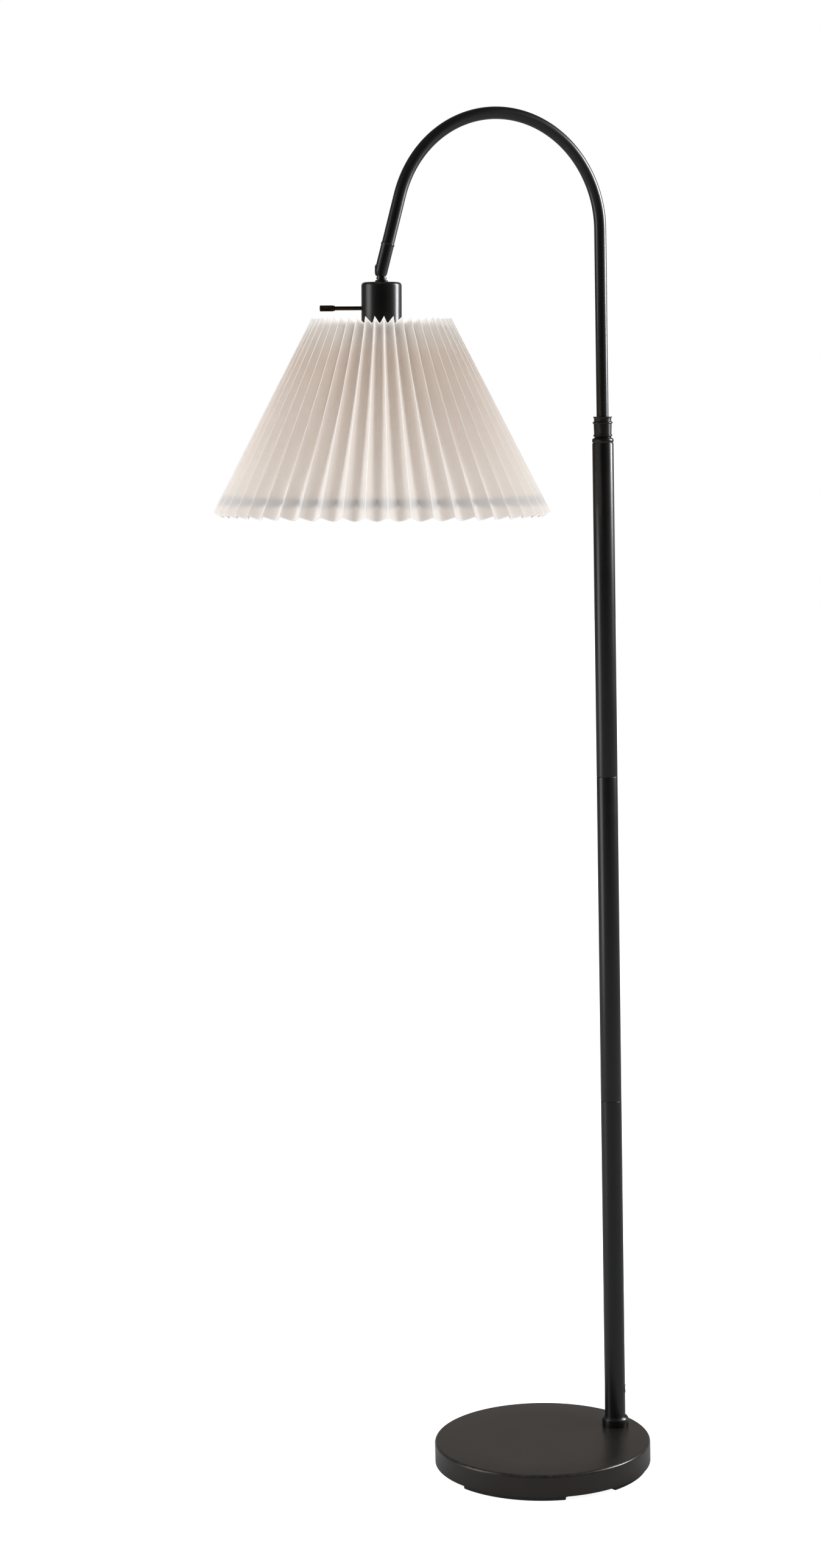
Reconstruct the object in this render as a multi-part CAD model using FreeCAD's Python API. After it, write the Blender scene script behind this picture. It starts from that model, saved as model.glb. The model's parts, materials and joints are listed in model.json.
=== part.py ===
import FreeCAD, Part
import math
import os

from FreeCAD import Vector

# Arc floor lamp. Millimetres, +Z up. The origin is the middle of the round base on the floor.
# The pole stands off-centre at +X, and the arm arches back over the base towards -X.
# Head sizes are measured from the tilt pivot down, because the head hangs from it.

# ---------------------------------------------------------------- base
base_radius = 132.0
base_height = 27.1
base_skin = 1.2
base_edge_round = 3.5
base_floor_gap = 5.5
pole_offset = 102.0
floor_plate_thickness = 1.5
weight_side_gap = 0.8
nut_pocket_radius = 17.0
nut_pocket_depth = 10.5

pad_count = 4
pad_arc_deg = 60.0
pad_first_deg = 45.0
pad_width = 14.0
pad_skirt = 1.5
pad_skirt_height = 1.2
pad_edge_inset = 3.5
pad_chamfer = 1.0
centre_pad_radius = 20.0

stud_radius = 5.0
stud_bore_radius = 3.6
thread_clearance = 0.05
thread_play = 0.01
hole_clearance = 0.3
base_nut_across_flats = 17.0
base_nut_height = 6.0
base_washer_radius = 15.0
base_washer_thickness = 1.5
stud_tail = 1.2

foot_collar_radius = 16.25
foot_collar_height = 12.3
foot_collar_chamfer = 2.2
foot_collar_rim = 0.9
foot_collar_seat_depth = 0.6

# ---------------------------------------------------------------- pole
pole_radius = 12.7
pole_wall = 1.2
pole_section_length = 400.0
pole_section_count = 3
pole_end_round = 0.6
insert_length = 16.0
insert_clearance = 0.02
joint_stud_radius = 8.0
joint_stud_bore = 3.2
joint_stud_reach = 13.0

cord_hole_radius = 4.4
cord_hole_height = 79.0
cord_hole_turn_deg = -32.0
grommet_bore_radius = 3.4
grommet_flange_radius = 5.0
grommet_flange_thickness = 0.4
grommet_inner_length = 3.2

lead_radius = 2.6
lead_bend_radius = 6.0
lead_start_inset = 6.5
lead_run_in = 0.5
lead_joint_gap = 1.5

# ---------------------------------------------------------------- neck of the pole
neck_spigot_length = 14.0
neck_groove_height = 0.8
neck_ring_radius = 12.8
neck_ring_height = 4.6
neck_groove_radius = 12.1
neck_waist_height = 1.5
neck_waist_radius = 9.95
neck_low_bead_lift = 0.9
neck_low_bead_height = 2.6
neck_low_bead_radius = 11.45
neck_barrel_low_radius = 10.35
neck_barrel_top_radius = 10.75
neck_barrel_height = 12.4
neck_high_bead_height = 3.0
neck_high_bead_radius = 11.95
neck_top_band_height = 3.6
neck_top_band_radius = 10.3
neck_lip_height = 2.1
neck_lip_radius = 11.2
neck_lip_taper = 0.9
neck_lip_round = 0.3
neck_bore_chamfer = 0.6
neck_ring_round = 0.6
neck_hollow_depth = 1.0
neck_hollow_drop = 0.5
running_fit = 0.06
sleeve_length = 46.0
sleeve_floor = 3.0
sleeve_recess_radius = 9.8
sleeve_recess_height = 9.0
sleeve_ledge_width = 1.0
part_overlap = 0.5
stop_rib_deg = 8.0
stop_lug_deg = 12.0
stop_lug_radius = 9.4
stop_lug_height = 6.0
stop_lug_lift = 0.45
stop_lug_skirt = 0.8
stop_lug_gap = 0.05
stop_ring_wall = 1.2
stop_ring_grip = 4.0
bearing_gap = 0.1

# ---------------------------------------------------------------- arm
arm_radius = 7.15
arm_wall = 1.0
arm_leg_length = 250.7
arch_radius = 132.5
arch_bend_deg = 163.4
arm_tip_length = 56.85

# ---------------------------------------------------------------- tilt joint
head_rest_tilt_deg = 1.2
barrel_radius = 7.4
barrel_length = 31.2
barrel_bead_radius = 7.95
barrel_bead_length = 2.4
barrel_spigot_length = 16.0
barrel_bore_radius = 3.3
barrel_bore_stop = 12.0
cheek_swing_gap = 0.35
cheek_face_gap = 0.5
head_cheek_radius = 7.6
friction_washer_radius = 6.2
friction_washer_gap = 0.12
pivot_screw_radius = 2.0
pivot_screw_head_radius = 3.7
pivot_screw_head_height = 2.2
pivot_screw_sink = 3.0
pivot_screw_blind = 1.6
pivot_screw_hold = 0.5
pivot_screw_head_round = 0.6
spring_washer_thickness = 0.6
spring_washer_inset = 0.2
driver_slot_width = 0.9
driver_slot_depth = 0.9
neck_rod_radius = 5.2
neck_rod_start = 1.0
neck_flange_radius = 5.95
neck_flange_top = 8.6
neck_flange_height = 1.9
shank_radius = 4.85
shank_bottom = 29.0
shank_bore_radius = 3.0
shank_bore_top = 10.0
lock_ring_radius = 7.3
lock_ring_height = 2.7
lock_ring_side_inset = 0.5
lock_ring_foot_width = 0.4
lock_ring_top_round = 0.3

# ---------------------------------------------------------------- lamp holder
cap_top = 14.0
cap_radius = 23.1
cap_height = 58.0
cap_wall = 1.2
cap_edge_round = 3.8
cap_washer_radius = 10.0
cap_washer_thickness = 1.0
cap_nut_across_flats = 14.0
cap_nut_height = 4.0
holder_radius = 19.75
holder_boss_radius = 9.0
holder_top = 21.0
holder_shoulder = 30.5
holder_joint = 56.0
holder_bottom = 88.0
holder_floor = 3.0
holder_shoulder_width = 2.0
holder_boss_depth = 4.0
holder_foot_chamfer = 0.8
holder_shank_gap = 0.3
drill_run_out = 1.0
switch_pocket_size = 14.0
switch_pocket_top = 35.5
shell_outer_radius = 13.9
shell_wall = 0.5
shell_gap = 0.3
shell_length = 26.0
contact_width = 6.0
contact_length = 20.0
contact_thickness = 0.5
contact_rise = 3.4
contact_foot = 6.0
contact_spring = 0.4
contact_end_inset = 5.0
shell_roof_margin = 1.0
holder_screw_radius = 1.5
holder_screw_circle = 16.9
holder_screw_length = 40.0
holder_screw_head_radius = 1.9
holder_screw_head_height = 1.8
holder_screw_slot = 0.63

switch_drop = 43.2
switch_turn_deg = 30.0
switch_rod_radius = 2.3
switch_rod_inner_end = 1.5
switch_knob_reach = 54.0
switch_knob_socket = 8.0
switch_knob_radius = 3.45
switch_knob_length = 17.0
switch_knob_round = 0.7
switch_cam_radius = 5.0
switch_cam_start = 2.0
switch_cam_length = 4.0
switch_leaf_thickness = 0.4
switch_leaf_width = 6.0
switch_leaf_gap = 0.4
switch_entry_gap = 0.5

# ---------------------------------------------------------------- shade
pleat_count = 48
pleat_width = 16.0
fabric_thickness = 0.6
shade_top_radius = 80.2
shade_bottom_radius = 194.8
shade_top_drop = 54.9
shade_height = 221.0
shade_ring_gap = 0.25
tape_thickness = 0.5
tape_width = 9.0
top_ring_wire = 1.6
bottom_ring_wire = 1.6
bottom_ring_rise = 21.0
spider_arms = 3
spider_first_deg = 30.0
spider_wire = 1.8
fitter_outer_radius = 24.5
fitter_thickness = 1.5
fitter_gap = 0.15
ring_nut_outer_radius = 22.4
ring_nut_height = 8.0
ring_nut_chamfer = 1.0
ring_nut_flutes = 24
ring_nut_flute_radius = 1.2
ring_nut_flute_set = 0.6
spider_overlap = 1.7

# ---------------------------------------------------------------- bulb
bulb_globe_radius = 30.0
bulb_side_bulge = 0.985
bulb_side_height = 0.30
bulb_length = 108.0
bulb_cap_radius = 13.1
bulb_cap_length = 22.0
bulb_cap_wall = 0.4
bulb_thread_pitch = 3.6
bulb_thread_depth = 0.5
bulb_thread_turns = 5
bulb_thread_start = 2.0
bulb_collar_length = 27.0
bulb_collar_top_radius = 26.5
bulb_tip_radius = 4.8
bulb_tip_height = 1.6
bulb_insulator_height = 3.0
bulb_insulator_inset = 3.2
bulb_cap_roof_inset = 3.0
bulb_collar_lip = 0.6
bulb_collar_step = 1.2
bulb_collar_step_height = 3.0
bulb_collar_chamfer = 0.5
bulb_contact_gap = 0.05
bulb_seam_inset = 0.4

# ---------------------------------------------------------------- places worked out from the sizes
base_top = base_floor_gap + base_height
plate_top = base_floor_gap + floor_plate_thickness
pocket_top = plate_top + nut_pocket_depth
pole_bottom = base_top + foot_collar_height - foot_collar_seat_depth
pole_top = pole_bottom + pole_section_count * pole_section_length
pole_inner_radius = pole_radius - pole_wall
insert_radius = pole_inner_radius - insert_clearance
arm_bore_radius = arm_radius - arm_wall
swivel_bore_radius = arm_radius + running_fit
sleeve_top = pole_top - neck_spigot_length
sleeve_bottom = sleeve_top - sleeve_length
arm_bottom = sleeve_bottom + sleeve_floor + stop_lug_lift
pole_foot = Vector(pole_offset, 0, 0)

arch_start = pole_top + arm_leg_length
bend = math.radians(arch_bend_deg)
arch_centre = Vector(pole_offset - arch_radius, 0, arch_start)
arch_end = arch_centre + Vector(math.cos(bend), 0, math.sin(bend)) * arch_radius
tip_direction = Vector(-math.sin(bend), 0, math.cos(bend))
tube_end = arch_end + tip_direction * arm_tip_length
pivot = tube_end + tip_direction * barrel_length
tip_lean_deg = 180.0 - arch_bend_deg

Z = Vector(0, 0, 1)
Y = Vector(0, 1, 0)
block_size = 80.0


def turned(outline):
    """A solid of revolution about Z from a closed outline of (radius, height) points.

    A point may have a third entry, a middle point: the stretch that reaches the point then
    runs on the round arc through that middle point.
    """
    points = [(entry[0], entry[1]) for entry in outline]
    edges = []
    for index, entry in enumerate(outline):
        start = points[index - 1]
        end = points[index]
        a = Vector(start[0], 0, start[1])
        b = Vector(end[0], 0, end[1])
        if len(entry) == 3:
            middle = Vector(entry[2][0], 0, entry[2][1])
            edges.append(Part.Arc(a, middle, b).toShape())
        else:
            edges.append(Part.LineSegment(a, b).toShape())
    face = Part.Face(Part.Wire(edges))
    return face.revolve(Vector(0, 0, 0), Z, 360)


def arc_point(end, centre, radius, angle_deg):
    """An outline entry at end, reached on an arc round centre whose middle is at angle_deg."""
    angle = math.radians(angle_deg)
    middle = (centre[0] + radius * math.cos(angle), centre[1] + radius * math.sin(angle))
    return (end[0], end[1], middle)


def tube(outer, inner, low, high):
    """A plain round sleeve about Z."""
    body = Part.makeCylinder(outer, high - low, Vector(0, 0, low))
    return body.cut(Part.makeCylinder(inner, high - low, Vector(0, 0, low)))


def hexagon(across_flats, low, height):
    """A hexagonal prism about Z."""
    corner = across_flats / math.sqrt(3.0)
    points = []
    for side in range(7):
        angle = math.radians(60.0 * side)
        points.append(Vector(corner * math.cos(angle), corner * math.sin(angle), low))
    return Part.Face(Part.makePolygon(points)).extrude(Vector(0, 0, height))


def sector(outer, inner, low, high, middle_deg, width_deg):
    """A piece of a ring about Z, width_deg wide round middle_deg."""
    face_points = []
    for radius, height in ((inner, low), (outer, low), (outer, high), (inner, high), (inner, low)):
        face_points.append(Vector(radius, 0, height))
    face = Part.Face(Part.makePolygon(face_points))
    face.rotate(Vector(0, 0, 0), Z, middle_deg - width_deg / 2.0)
    return face.revolve(Vector(0, 0, 0), Z, width_deg)


def moved(shape, place):
    """A copy of the shape, moved by place."""
    copy = shape.copy()
    copy.translate(place)
    return copy


def turned_about(shape, centre, axis, angle_deg):
    """A copy of the shape, turned about an axis through centre."""
    copy = shape.copy()
    copy.rotate(centre, axis, angle_deg)
    return copy


def below_pivot(shape):
    """Puts a head piece, drawn with its pivot at the origin, in its place, a little tilted outwards."""
    return moved(turned_about(shape, Vector(0, 0, 0), Y, head_rest_tilt_deg), pivot)


def in_line_with_tip(shape):
    """Puts a piece drawn hanging straight down from the pivot in line with the arm's tip."""
    leaned = turned_about(shape, Vector(0, 0, 0), Y, tip_lean_deg)
    return moved(leaned, pivot)


def one(shape):
    """The single solid in a shape, or a compound of its solids where there are more."""
    solids = shape.Solids
    if len(solids) == 1:
        return solids[0]
    return Part.makeCompound(solids)


# ---------------------------------------------------------------- base pieces
def base_cover():
    """The spun steel cover, open underneath, with the hole for the pole's stud."""
    low = base_floor_gap
    r = base_radius
    e = base_edge_round
    inner_round = e - base_skin
    outline = [
        (0, base_top - base_skin),
        (r - e, base_top - base_skin),
        arc_point((r - base_skin, base_top - e), (r - e, base_top - e), inner_round, 45),
        (r - base_skin, low),
        (r, low),
        (r, base_top - e),
        arc_point((r - e, base_top), (r - e, base_top - e), e, 45),
        (0, base_top),
    ]
    hole = Part.makeCylinder(stud_radius + hole_clearance, base_height * 2, Vector(pole_offset, 0, low))
    return turned(outline).cut(hole)


def base_weight():
    """The cast weight that fills the cover, with the pocket for the nut under the pole."""
    radius = base_radius - base_skin - weight_side_gap
    top = base_top - base_skin
    chamfer = base_edge_round
    outline = [
        (0, plate_top),
        (radius, plate_top),
        (radius, top - chamfer),
        (radius - chamfer, top),
        (0, top),
    ]
    pocket = Part.makeCylinder(nut_pocket_radius, nut_pocket_depth, Vector(pole_offset, 0, plate_top))
    hole = Part.makeCylinder(stud_radius + hole_clearance, base_height, Vector(pole_offset, 0, plate_top))
    return turned(outline).cut(pocket).cut(hole)


def base_floor_plate():
    """The thin plate that closes the underside and carries the pads."""
    radius = base_radius - base_skin - weight_side_gap
    return Part.makeCylinder(radius, floor_plate_thickness, Vector(0, 0, base_floor_gap))


def foot_pads():
    """Four curved anti-slip pads near the rim."""
    outer = base_radius - pad_edge_inset
    inner = outer - pad_width
    pads = []
    for index in range(pad_count):
        middle = pad_first_deg + index * 360.0 / pad_count
        pad = sector(outer, inner, 0, base_floor_gap, middle, pad_arc_deg)
        bottom = [edge for edge in pad.Edges if edge.BoundBox.ZMax < base_floor_gap / 2]
        skirt_low = base_floor_gap - pad_skirt_height
        skirt_deg = pad_arc_deg + math.degrees(2 * pad_skirt / inner)
        skirt = sector(outer + pad_skirt, inner - pad_skirt, skirt_low, base_floor_gap, middle, skirt_deg)
        pads.append(pad.makeChamfer(pad_chamfer, bottom).fuse(skirt).removeSplitter())
    return Part.makeCompound([one(pad) for pad in pads])


def centre_pad():
    """The round pad under the middle of the base."""
    pad = Part.makeCylinder(centre_pad_radius, base_floor_gap)
    bottom = [edge for edge in pad.Edges if edge.BoundBox.ZMax < base_floor_gap / 2]
    return pad.makeChamfer(pad_chamfer, bottom)


def base_washer():
    """The washer under the roof of the nut pocket."""
    low = pocket_top - base_washer_thickness
    return moved(tube(base_washer_radius, stud_radius + hole_clearance, low, pocket_top), pole_foot)


def base_nut():
    """The hexagonal nut that pulls the pole down on the base."""
    high = pocket_top - base_washer_thickness
    low = high - base_nut_height
    nut = hexagon(base_nut_across_flats, low, base_nut_height)
    bore = Part.makeCylinder(stud_radius + thread_clearance, base_nut_height, Vector(0, 0, low))
    return moved(nut.cut(bore), pole_foot)


def base_stud():
    """The hollow threaded stud from the nut up into the foot of the pole."""
    low = pocket_top - base_washer_thickness - base_nut_height - stud_tail
    return moved(tube(stud_radius, stud_bore_radius, low, pole_bottom + insert_length), pole_foot)


def foot_collar():
    """The turned collar that the pole stands in, with a chamfer and a fine rim."""
    r = foot_collar_radius
    low = base_top
    high = base_top + foot_collar_height
    bore = stud_radius + hole_clearance
    seat = pole_radius + insert_clearance * 2
    rim = seat + foot_collar_rim
    outline = [
        (bore, low),
        (r, low),
        (r, high - foot_collar_chamfer - foot_collar_rim),
        (rim + foot_collar_rim, high - foot_collar_rim),
        (rim, high - foot_collar_rim),
        (rim, high),
        (seat, high),
        (seat, pole_bottom),
        (bore, pole_bottom),
    ]
    return moved(turned(outline), pole_foot)


# ---------------------------------------------------------------- pole pieces
def pole_section(index):
    """One plain tube of the pole, with rounded ends."""
    low = pole_bottom + index * pole_section_length
    high = low + pole_section_length
    r = pole_radius
    e = pole_end_round
    outline = [
        (pole_inner_radius, low),
        (r - e, low),
        arc_point((r, low + e), (r - e, low + e), e, -45),
        (r, high - e),
        arc_point((r - e, high), (r - e, high - e), e, 45),
        (pole_inner_radius, high),
    ]
    return moved(turned(outline), pole_foot)


def cord_hole_axis():
    """The direction in which the cord inlet faces."""
    angle = math.radians(cord_hole_turn_deg)
    return Vector(math.cos(angle), math.sin(angle), 0)


def lower_pole_with_inlet():
    """The lowest pole tube, with the hole for the cord."""
    start = Vector(pole_offset, 0, cord_hole_height)
    hole = Part.makeCylinder(cord_hole_radius, pole_radius * 2, start, cord_hole_axis())
    return pole_section(0).cut(hole)


def pole_inserts():
    """The threaded inserts pressed into the tube ends: one at the foot, two at each joint."""
    foot = tube(insert_radius, stud_radius + thread_clearance, pole_bottom, pole_bottom + insert_length)
    rings = [moved(foot, pole_foot)]
    for joint in range(1, pole_section_count):
        seam = pole_bottom + joint * pole_section_length
        bore = joint_stud_radius + thread_clearance
        rings.append(moved(tube(insert_radius, bore, seam - insert_length, seam), pole_foot))
        rings.append(moved(tube(insert_radius, bore, seam, seam + insert_length), pole_foot))
    return Part.makeCompound([one(ring) for ring in rings])


def pole_joint_studs():
    """The hollow threaded studs that join the pole's tubes."""
    studs = []
    for joint in range(1, pole_section_count):
        seam = pole_bottom + joint * pole_section_length
        stud = tube(joint_stud_radius, joint_stud_bore, seam - joint_stud_reach, seam + joint_stud_reach)
        studs.append(one(moved(stud, pole_foot)))
    return Part.makeCompound(studs)


def cord_grommet():
    """The bush in the cord hole: a thin outer flange and a short sleeve into the tube."""
    start = pole_radius - pole_wall - grommet_inner_length
    reach = pole_radius * 2
    across = Vector(-pole_radius, 0, 0)
    face = Part.makeCylinder(pole_radius + grommet_flange_thickness, reach, across, Vector(1, 0, 0))
    pole = Part.makeCylinder(pole_radius + insert_clearance, reach, across, Vector(1, 0, 0))
    sleeve = tube(cord_hole_radius - insert_clearance * 2, grommet_bore_radius, start, reach)
    flange = tube(grommet_flange_radius, grommet_bore_radius, 0, reach).cut(pole)
    bush = sleeve.fuse(flange).common(face).removeSplitter()
    bush = turned_about(bush, Vector(0, 0, 0), Y, 90)
    bush = turned_about(bush, Vector(0, 0, 0), Z, cord_hole_turn_deg)
    return moved(bush, Vector(pole_offset, 0, cord_hole_height))


def lead_along(edges, start, direction):
    """A round two-core lead swept along joined edges."""
    circle = Part.makeCircle(lead_radius, start, direction)
    return Part.Wire(edges).makePipeShell([Part.Wire(circle)], True, False)


def pole_lead():
    """The lead inside the pole, from just inside the cord inlet up to the foot of the arm."""
    inward = cord_hole_axis() * -1
    r = lead_bend_radius
    start = Vector(pole_offset, 0, cord_hole_height) - inward * lead_start_inset
    turn_start = start + inward * lead_run_in
    middle_angle = math.radians(45.0)
    sideways = inward * (r * math.sin(middle_angle))
    upward = Vector(0, 0, r * (1 - math.cos(middle_angle)))
    turn_end = turn_start + inward * r + Vector(0, 0, r)
    top = Vector(turn_end.x, turn_end.y, arm_bottom - lead_joint_gap)
    edges = [
        Part.LineSegment(start, turn_start).toShape(),
        Part.Arc(turn_start, turn_start + sideways + upward, turn_end).toShape(),
        Part.LineSegment(turn_end, top).toShape(),
    ]
    return lead_along(edges, start, inward)


def arm_lead():
    """The lead inside the arm, from its foot round the arch to the knuckle."""
    foot = Vector(pole_offset, 0, arm_bottom + lead_joint_gap)
    top = Vector(pole_offset, 0, arch_start)
    half = bend / 2
    crown = arch_centre + Vector(math.cos(half), 0, math.sin(half)) * arch_radius
    end = pivot - tip_direction * (barrel_bore_stop + lead_joint_gap)
    edges = [
        Part.LineSegment(foot, top).toShape(),
        Part.Arc(top, crown, arch_end).toShape(),
        Part.LineSegment(arch_end, end).toShape(),
    ]
    return lead_along(edges, foot, Z)


def neck_collar():
    """The turned collar on the pole's top, with its beads, waist and flared lip."""
    h = pole_top
    ring_low = h + neck_groove_height
    ring_high = ring_low + neck_ring_height
    ring_middle = (ring_low + ring_high) / 2
    waist = ring_high + neck_waist_height
    bead_low = waist + neck_low_bead_lift
    bead_high = bead_low + neck_low_bead_height
    barrel_top = bead_high + neck_barrel_height
    high_bead_top = barrel_top + neck_high_bead_height
    band_top = high_bead_top + neck_top_band_height
    lip_top = band_top + neck_lip_height
    hollow = (neck_waist_radius + neck_hollow_depth, ring_high + neck_hollow_drop)
    bore = swivel_bore_radius
    outline = [
        (bore, h - neck_spigot_length),
        (insert_radius, h - neck_spigot_length),
        (insert_radius, h),
        (neck_groove_radius, h),
        (neck_groove_radius, ring_low),
        (neck_ring_radius - neck_ring_round, ring_high, (neck_ring_radius, ring_middle)),
        (neck_waist_radius, waist, hollow),
        (neck_barrel_low_radius, bead_low),
        (neck_barrel_low_radius, bead_high, (neck_low_bead_radius, (bead_low + bead_high) / 2)),
        (neck_barrel_top_radius, barrel_top),
        (neck_top_band_radius, high_bead_top, (neck_high_bead_radius, (barrel_top + high_bead_top) / 2)),
        (neck_top_band_radius, band_top),
        (neck_lip_radius, lip_top - neck_lip_taper),
        (neck_lip_radius, lip_top - neck_lip_round),
        (neck_lip_radius - neck_lip_round, lip_top),
        (bore + neck_bore_chamfer, lip_top),
        (bore, lip_top - neck_bore_chamfer),
    ]
    return moved(turned(outline), pole_foot)


def swivel_sleeve():
    """The nylon sleeve that the arm turns in, with the recess and rib that stop it."""
    low = sleeve_bottom
    floor = low + sleeve_floor
    recess_top = floor + sleeve_recess_height
    sleeve = tube(insert_radius, swivel_bore_radius, low, sleeve_top)
    ledge = tube(insert_radius, arm_bore_radius - sleeve_ledge_width, low, floor)
    recess = tube(sleeve_recess_radius, swivel_bore_radius - part_overlap, floor, recess_top)
    rib_outer = sleeve_recess_radius + part_overlap
    rib_low = floor - part_overlap
    rib = sector(rib_outer, swivel_bore_radius, rib_low, recess_top + part_overlap, 0, stop_rib_deg)
    body = sleeve.fuse(ledge).cut(recess).fuse(rib).removeSplitter()
    return moved(body, pole_foot)


# ---------------------------------------------------------------- arm pieces
def along_arm(radius):
    """A round bar along the arm's line, from its foot in the pole to the end of its tip."""
    leg = Part.makeCylinder(radius, arch_start - arm_bottom, Vector(pole_offset, 0, arm_bottom))
    circle = Part.makeCircle(radius, Vector(pole_offset, 0, arch_start), Z)
    face = Part.Face(Part.Wire(circle))
    arch = face.revolve(arch_centre, Vector(0, -1, 0), arch_bend_deg)
    tip = Part.makeCylinder(radius, arm_tip_length, arch_end, tip_direction)
    return leg.fuse([arch, tip])


def arc_tube():
    """The bent arm tube."""
    return one(along_arm(arm_radius).cut(along_arm(arm_bore_radius)).removeSplitter())


def arm_stop_ring():
    """The ring fixed round the arm's foot, whose lug meets the rib in the sleeve."""
    low = arm_bottom
    high = low + stop_lug_height
    bore = arm_bore_radius - stop_ring_wall
    lug_low = low - stop_lug_lift + bearing_gap
    plug = tube(arm_bore_radius - insert_clearance, bore, low, high + stop_ring_grip)
    rim = tube(arm_radius, bore, lug_low, low)
    lug = sector(stop_lug_radius, arm_radius - stop_lug_skirt, lug_low, low, 180, stop_lug_deg)
    riser = sector(stop_lug_radius, swivel_bore_radius + stop_lug_gap, lug_low, high, 180, stop_lug_deg)
    return moved(one(plug.fuse([rim, lug, riser]).removeSplitter()), pole_foot)


def barrel_blank(radius, low, high):
    """A cylinder on the hanging axis, from low to high, both measured up from the pivot."""
    return Part.makeCylinder(radius, high - low, Vector(0, 0, low))


def block_beyond(y):
    """A large block that holds everything round the pivot beyond y along +Y."""
    size = block_size
    return Part.makeBox(size, size, size, Vector(-size / 2, y, -size / 2))


def pivot_drum(radius, low_y, high_y):
    """A cylinder about the pivot's axis."""
    return Part.makeCylinder(radius, high_y - low_y, Vector(0, low_y, 0), Y)


def arm_knuckle():
    """The arm's half of the tilt joint: spigot, bead, and a barrel cut to one rounded cheek."""
    reach = head_cheek_radius + cheek_swing_gap
    barrel = barrel_blank(barrel_radius, 0, barrel_length)
    end = pivot_drum(barrel_radius, -barrel_radius, -cheek_face_gap)
    front = barrel_blank(barrel_radius, -barrel_radius, part_overlap / 5).common(end)
    body = barrel.fuse(front).removeSplitter()
    swing = pivot_drum(reach, -cheek_face_gap, barrel_radius * 2)
    body = body.cut(swing)
    below = block_beyond(-cheek_face_gap).common(barrel_blank(barrel_radius * 2, -barrel_radius * 2, 0))
    body = body.cut(below)
    bead_high = barrel_length
    bead_low = bead_high - barrel_bead_length
    middle = (bead_low + bead_high) / 2
    bead = turned([
        (0, bead_low),
        (barrel_radius, bead_low),
        (barrel_radius, bead_high, (barrel_bead_radius, middle)),
        (0, bead_high),
    ])
    spigot_top = barrel_length + barrel_spigot_length
    spigot = barrel_blank(arm_bore_radius - insert_clearance, bead_high, spigot_top)
    body = body.fuse([bead, spigot]).removeSplitter()
    bore = barrel_blank(barrel_bore_radius, barrel_bore_stop, spigot_top)
    screw_hole = pivot_drum(pivot_screw_radius, -barrel_radius + pivot_screw_blind, 0)
    return in_line_with_tip(one(body.cut(bore).cut(screw_hole)))


def pivot_screw():
    """The slotted screw that the head turns on, held in the arm's cheek."""
    head_low = head_cheek_radius - pivot_screw_sink
    shank_end = -barrel_radius + pivot_screw_blind + bearing_gap
    shank = pivot_drum(pivot_screw_radius - thread_play, shank_end, head_low + pivot_screw_hold)
    head = pivot_drum(pivot_screw_head_radius, head_low, head_low + pivot_screw_head_height)
    rim = [edge for edge in head.Edges if edge.BoundBox.YMin > head_low + pivot_screw_head_height / 2
           and edge.BoundBox.DiagonalLength > pivot_screw_head_radius]
    head = head.makeFillet(pivot_screw_head_round, rim[:1])
    slot = Part.makeBox(
        pivot_screw_head_radius * 2 + part_overlap * 2,
        driver_slot_depth + part_overlap * 2,
        driver_slot_width,
        Vector(
            -pivot_screw_head_radius - part_overlap,
            head_low + pivot_screw_head_height - driver_slot_depth,
            -driver_slot_width / 2,
        ),
    )
    return in_line_with_tip(one(shank.fuse(head).removeSplitter().cut(slot)))


def spring_washer():
    """The thin spring washer under the pivot screw's head."""
    high = head_cheek_radius - pivot_screw_sink - insert_clearance
    low = high - spring_washer_thickness
    ring = pivot_drum(pivot_screw_head_radius - spring_washer_inset, low, high)
    return in_line_with_tip(ring.cut(pivot_drum(pivot_screw_radius + thread_clearance, low, high)))


# ---------------------------------------------------------------- head pieces
def head_knuckle():
    """The head's half of the tilt joint: a round cheek, a neck with a flange, and a hollow shank."""
    drum = pivot_drum(head_cheek_radius, cheek_face_gap, head_cheek_radius)
    cheek = drum.common(barrel_blank(head_cheek_radius, -head_cheek_radius * 2, head_cheek_radius * 2))
    neck = barrel_blank(neck_rod_radius, -neck_flange_top, -neck_rod_start)
    swing = pivot_drum(barrel_radius + cheek_swing_gap, -head_cheek_radius * 2, cheek_face_gap)
    neck = neck.cut(swing)
    flange_low = -neck_flange_top - neck_flange_height
    flange = barrel_blank(neck_flange_radius, flange_low, -neck_flange_top + thread_play)
    shank = barrel_blank(shank_radius, -shank_bottom, flange_low)
    body = cheek.fuse([neck, flange, shank]).removeSplitter()
    head_seat = head_cheek_radius - pivot_screw_sink - spring_washer_thickness - bearing_gap
    counterbore = pivot_drum(pivot_screw_head_radius + hole_clearance, head_seat, head_cheek_radius * 2)
    screw_hole = pivot_drum(pivot_screw_radius + thread_clearance, 0, head_cheek_radius * 2)
    bore = barrel_blank(shank_bore_radius, -shank_bottom, -shank_bore_top)
    return below_pivot(one(body.cut(counterbore).cut(screw_hole).cut(bore)))


def friction_washer():
    """The fibre washer between the two cheeks."""
    ring = pivot_drum(friction_washer_radius, -cheek_face_gap + friction_washer_gap, cheek_face_gap)
    return below_pivot(ring.cut(pivot_drum(pivot_screw_radius + thread_clearance, -1, 1)))


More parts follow.
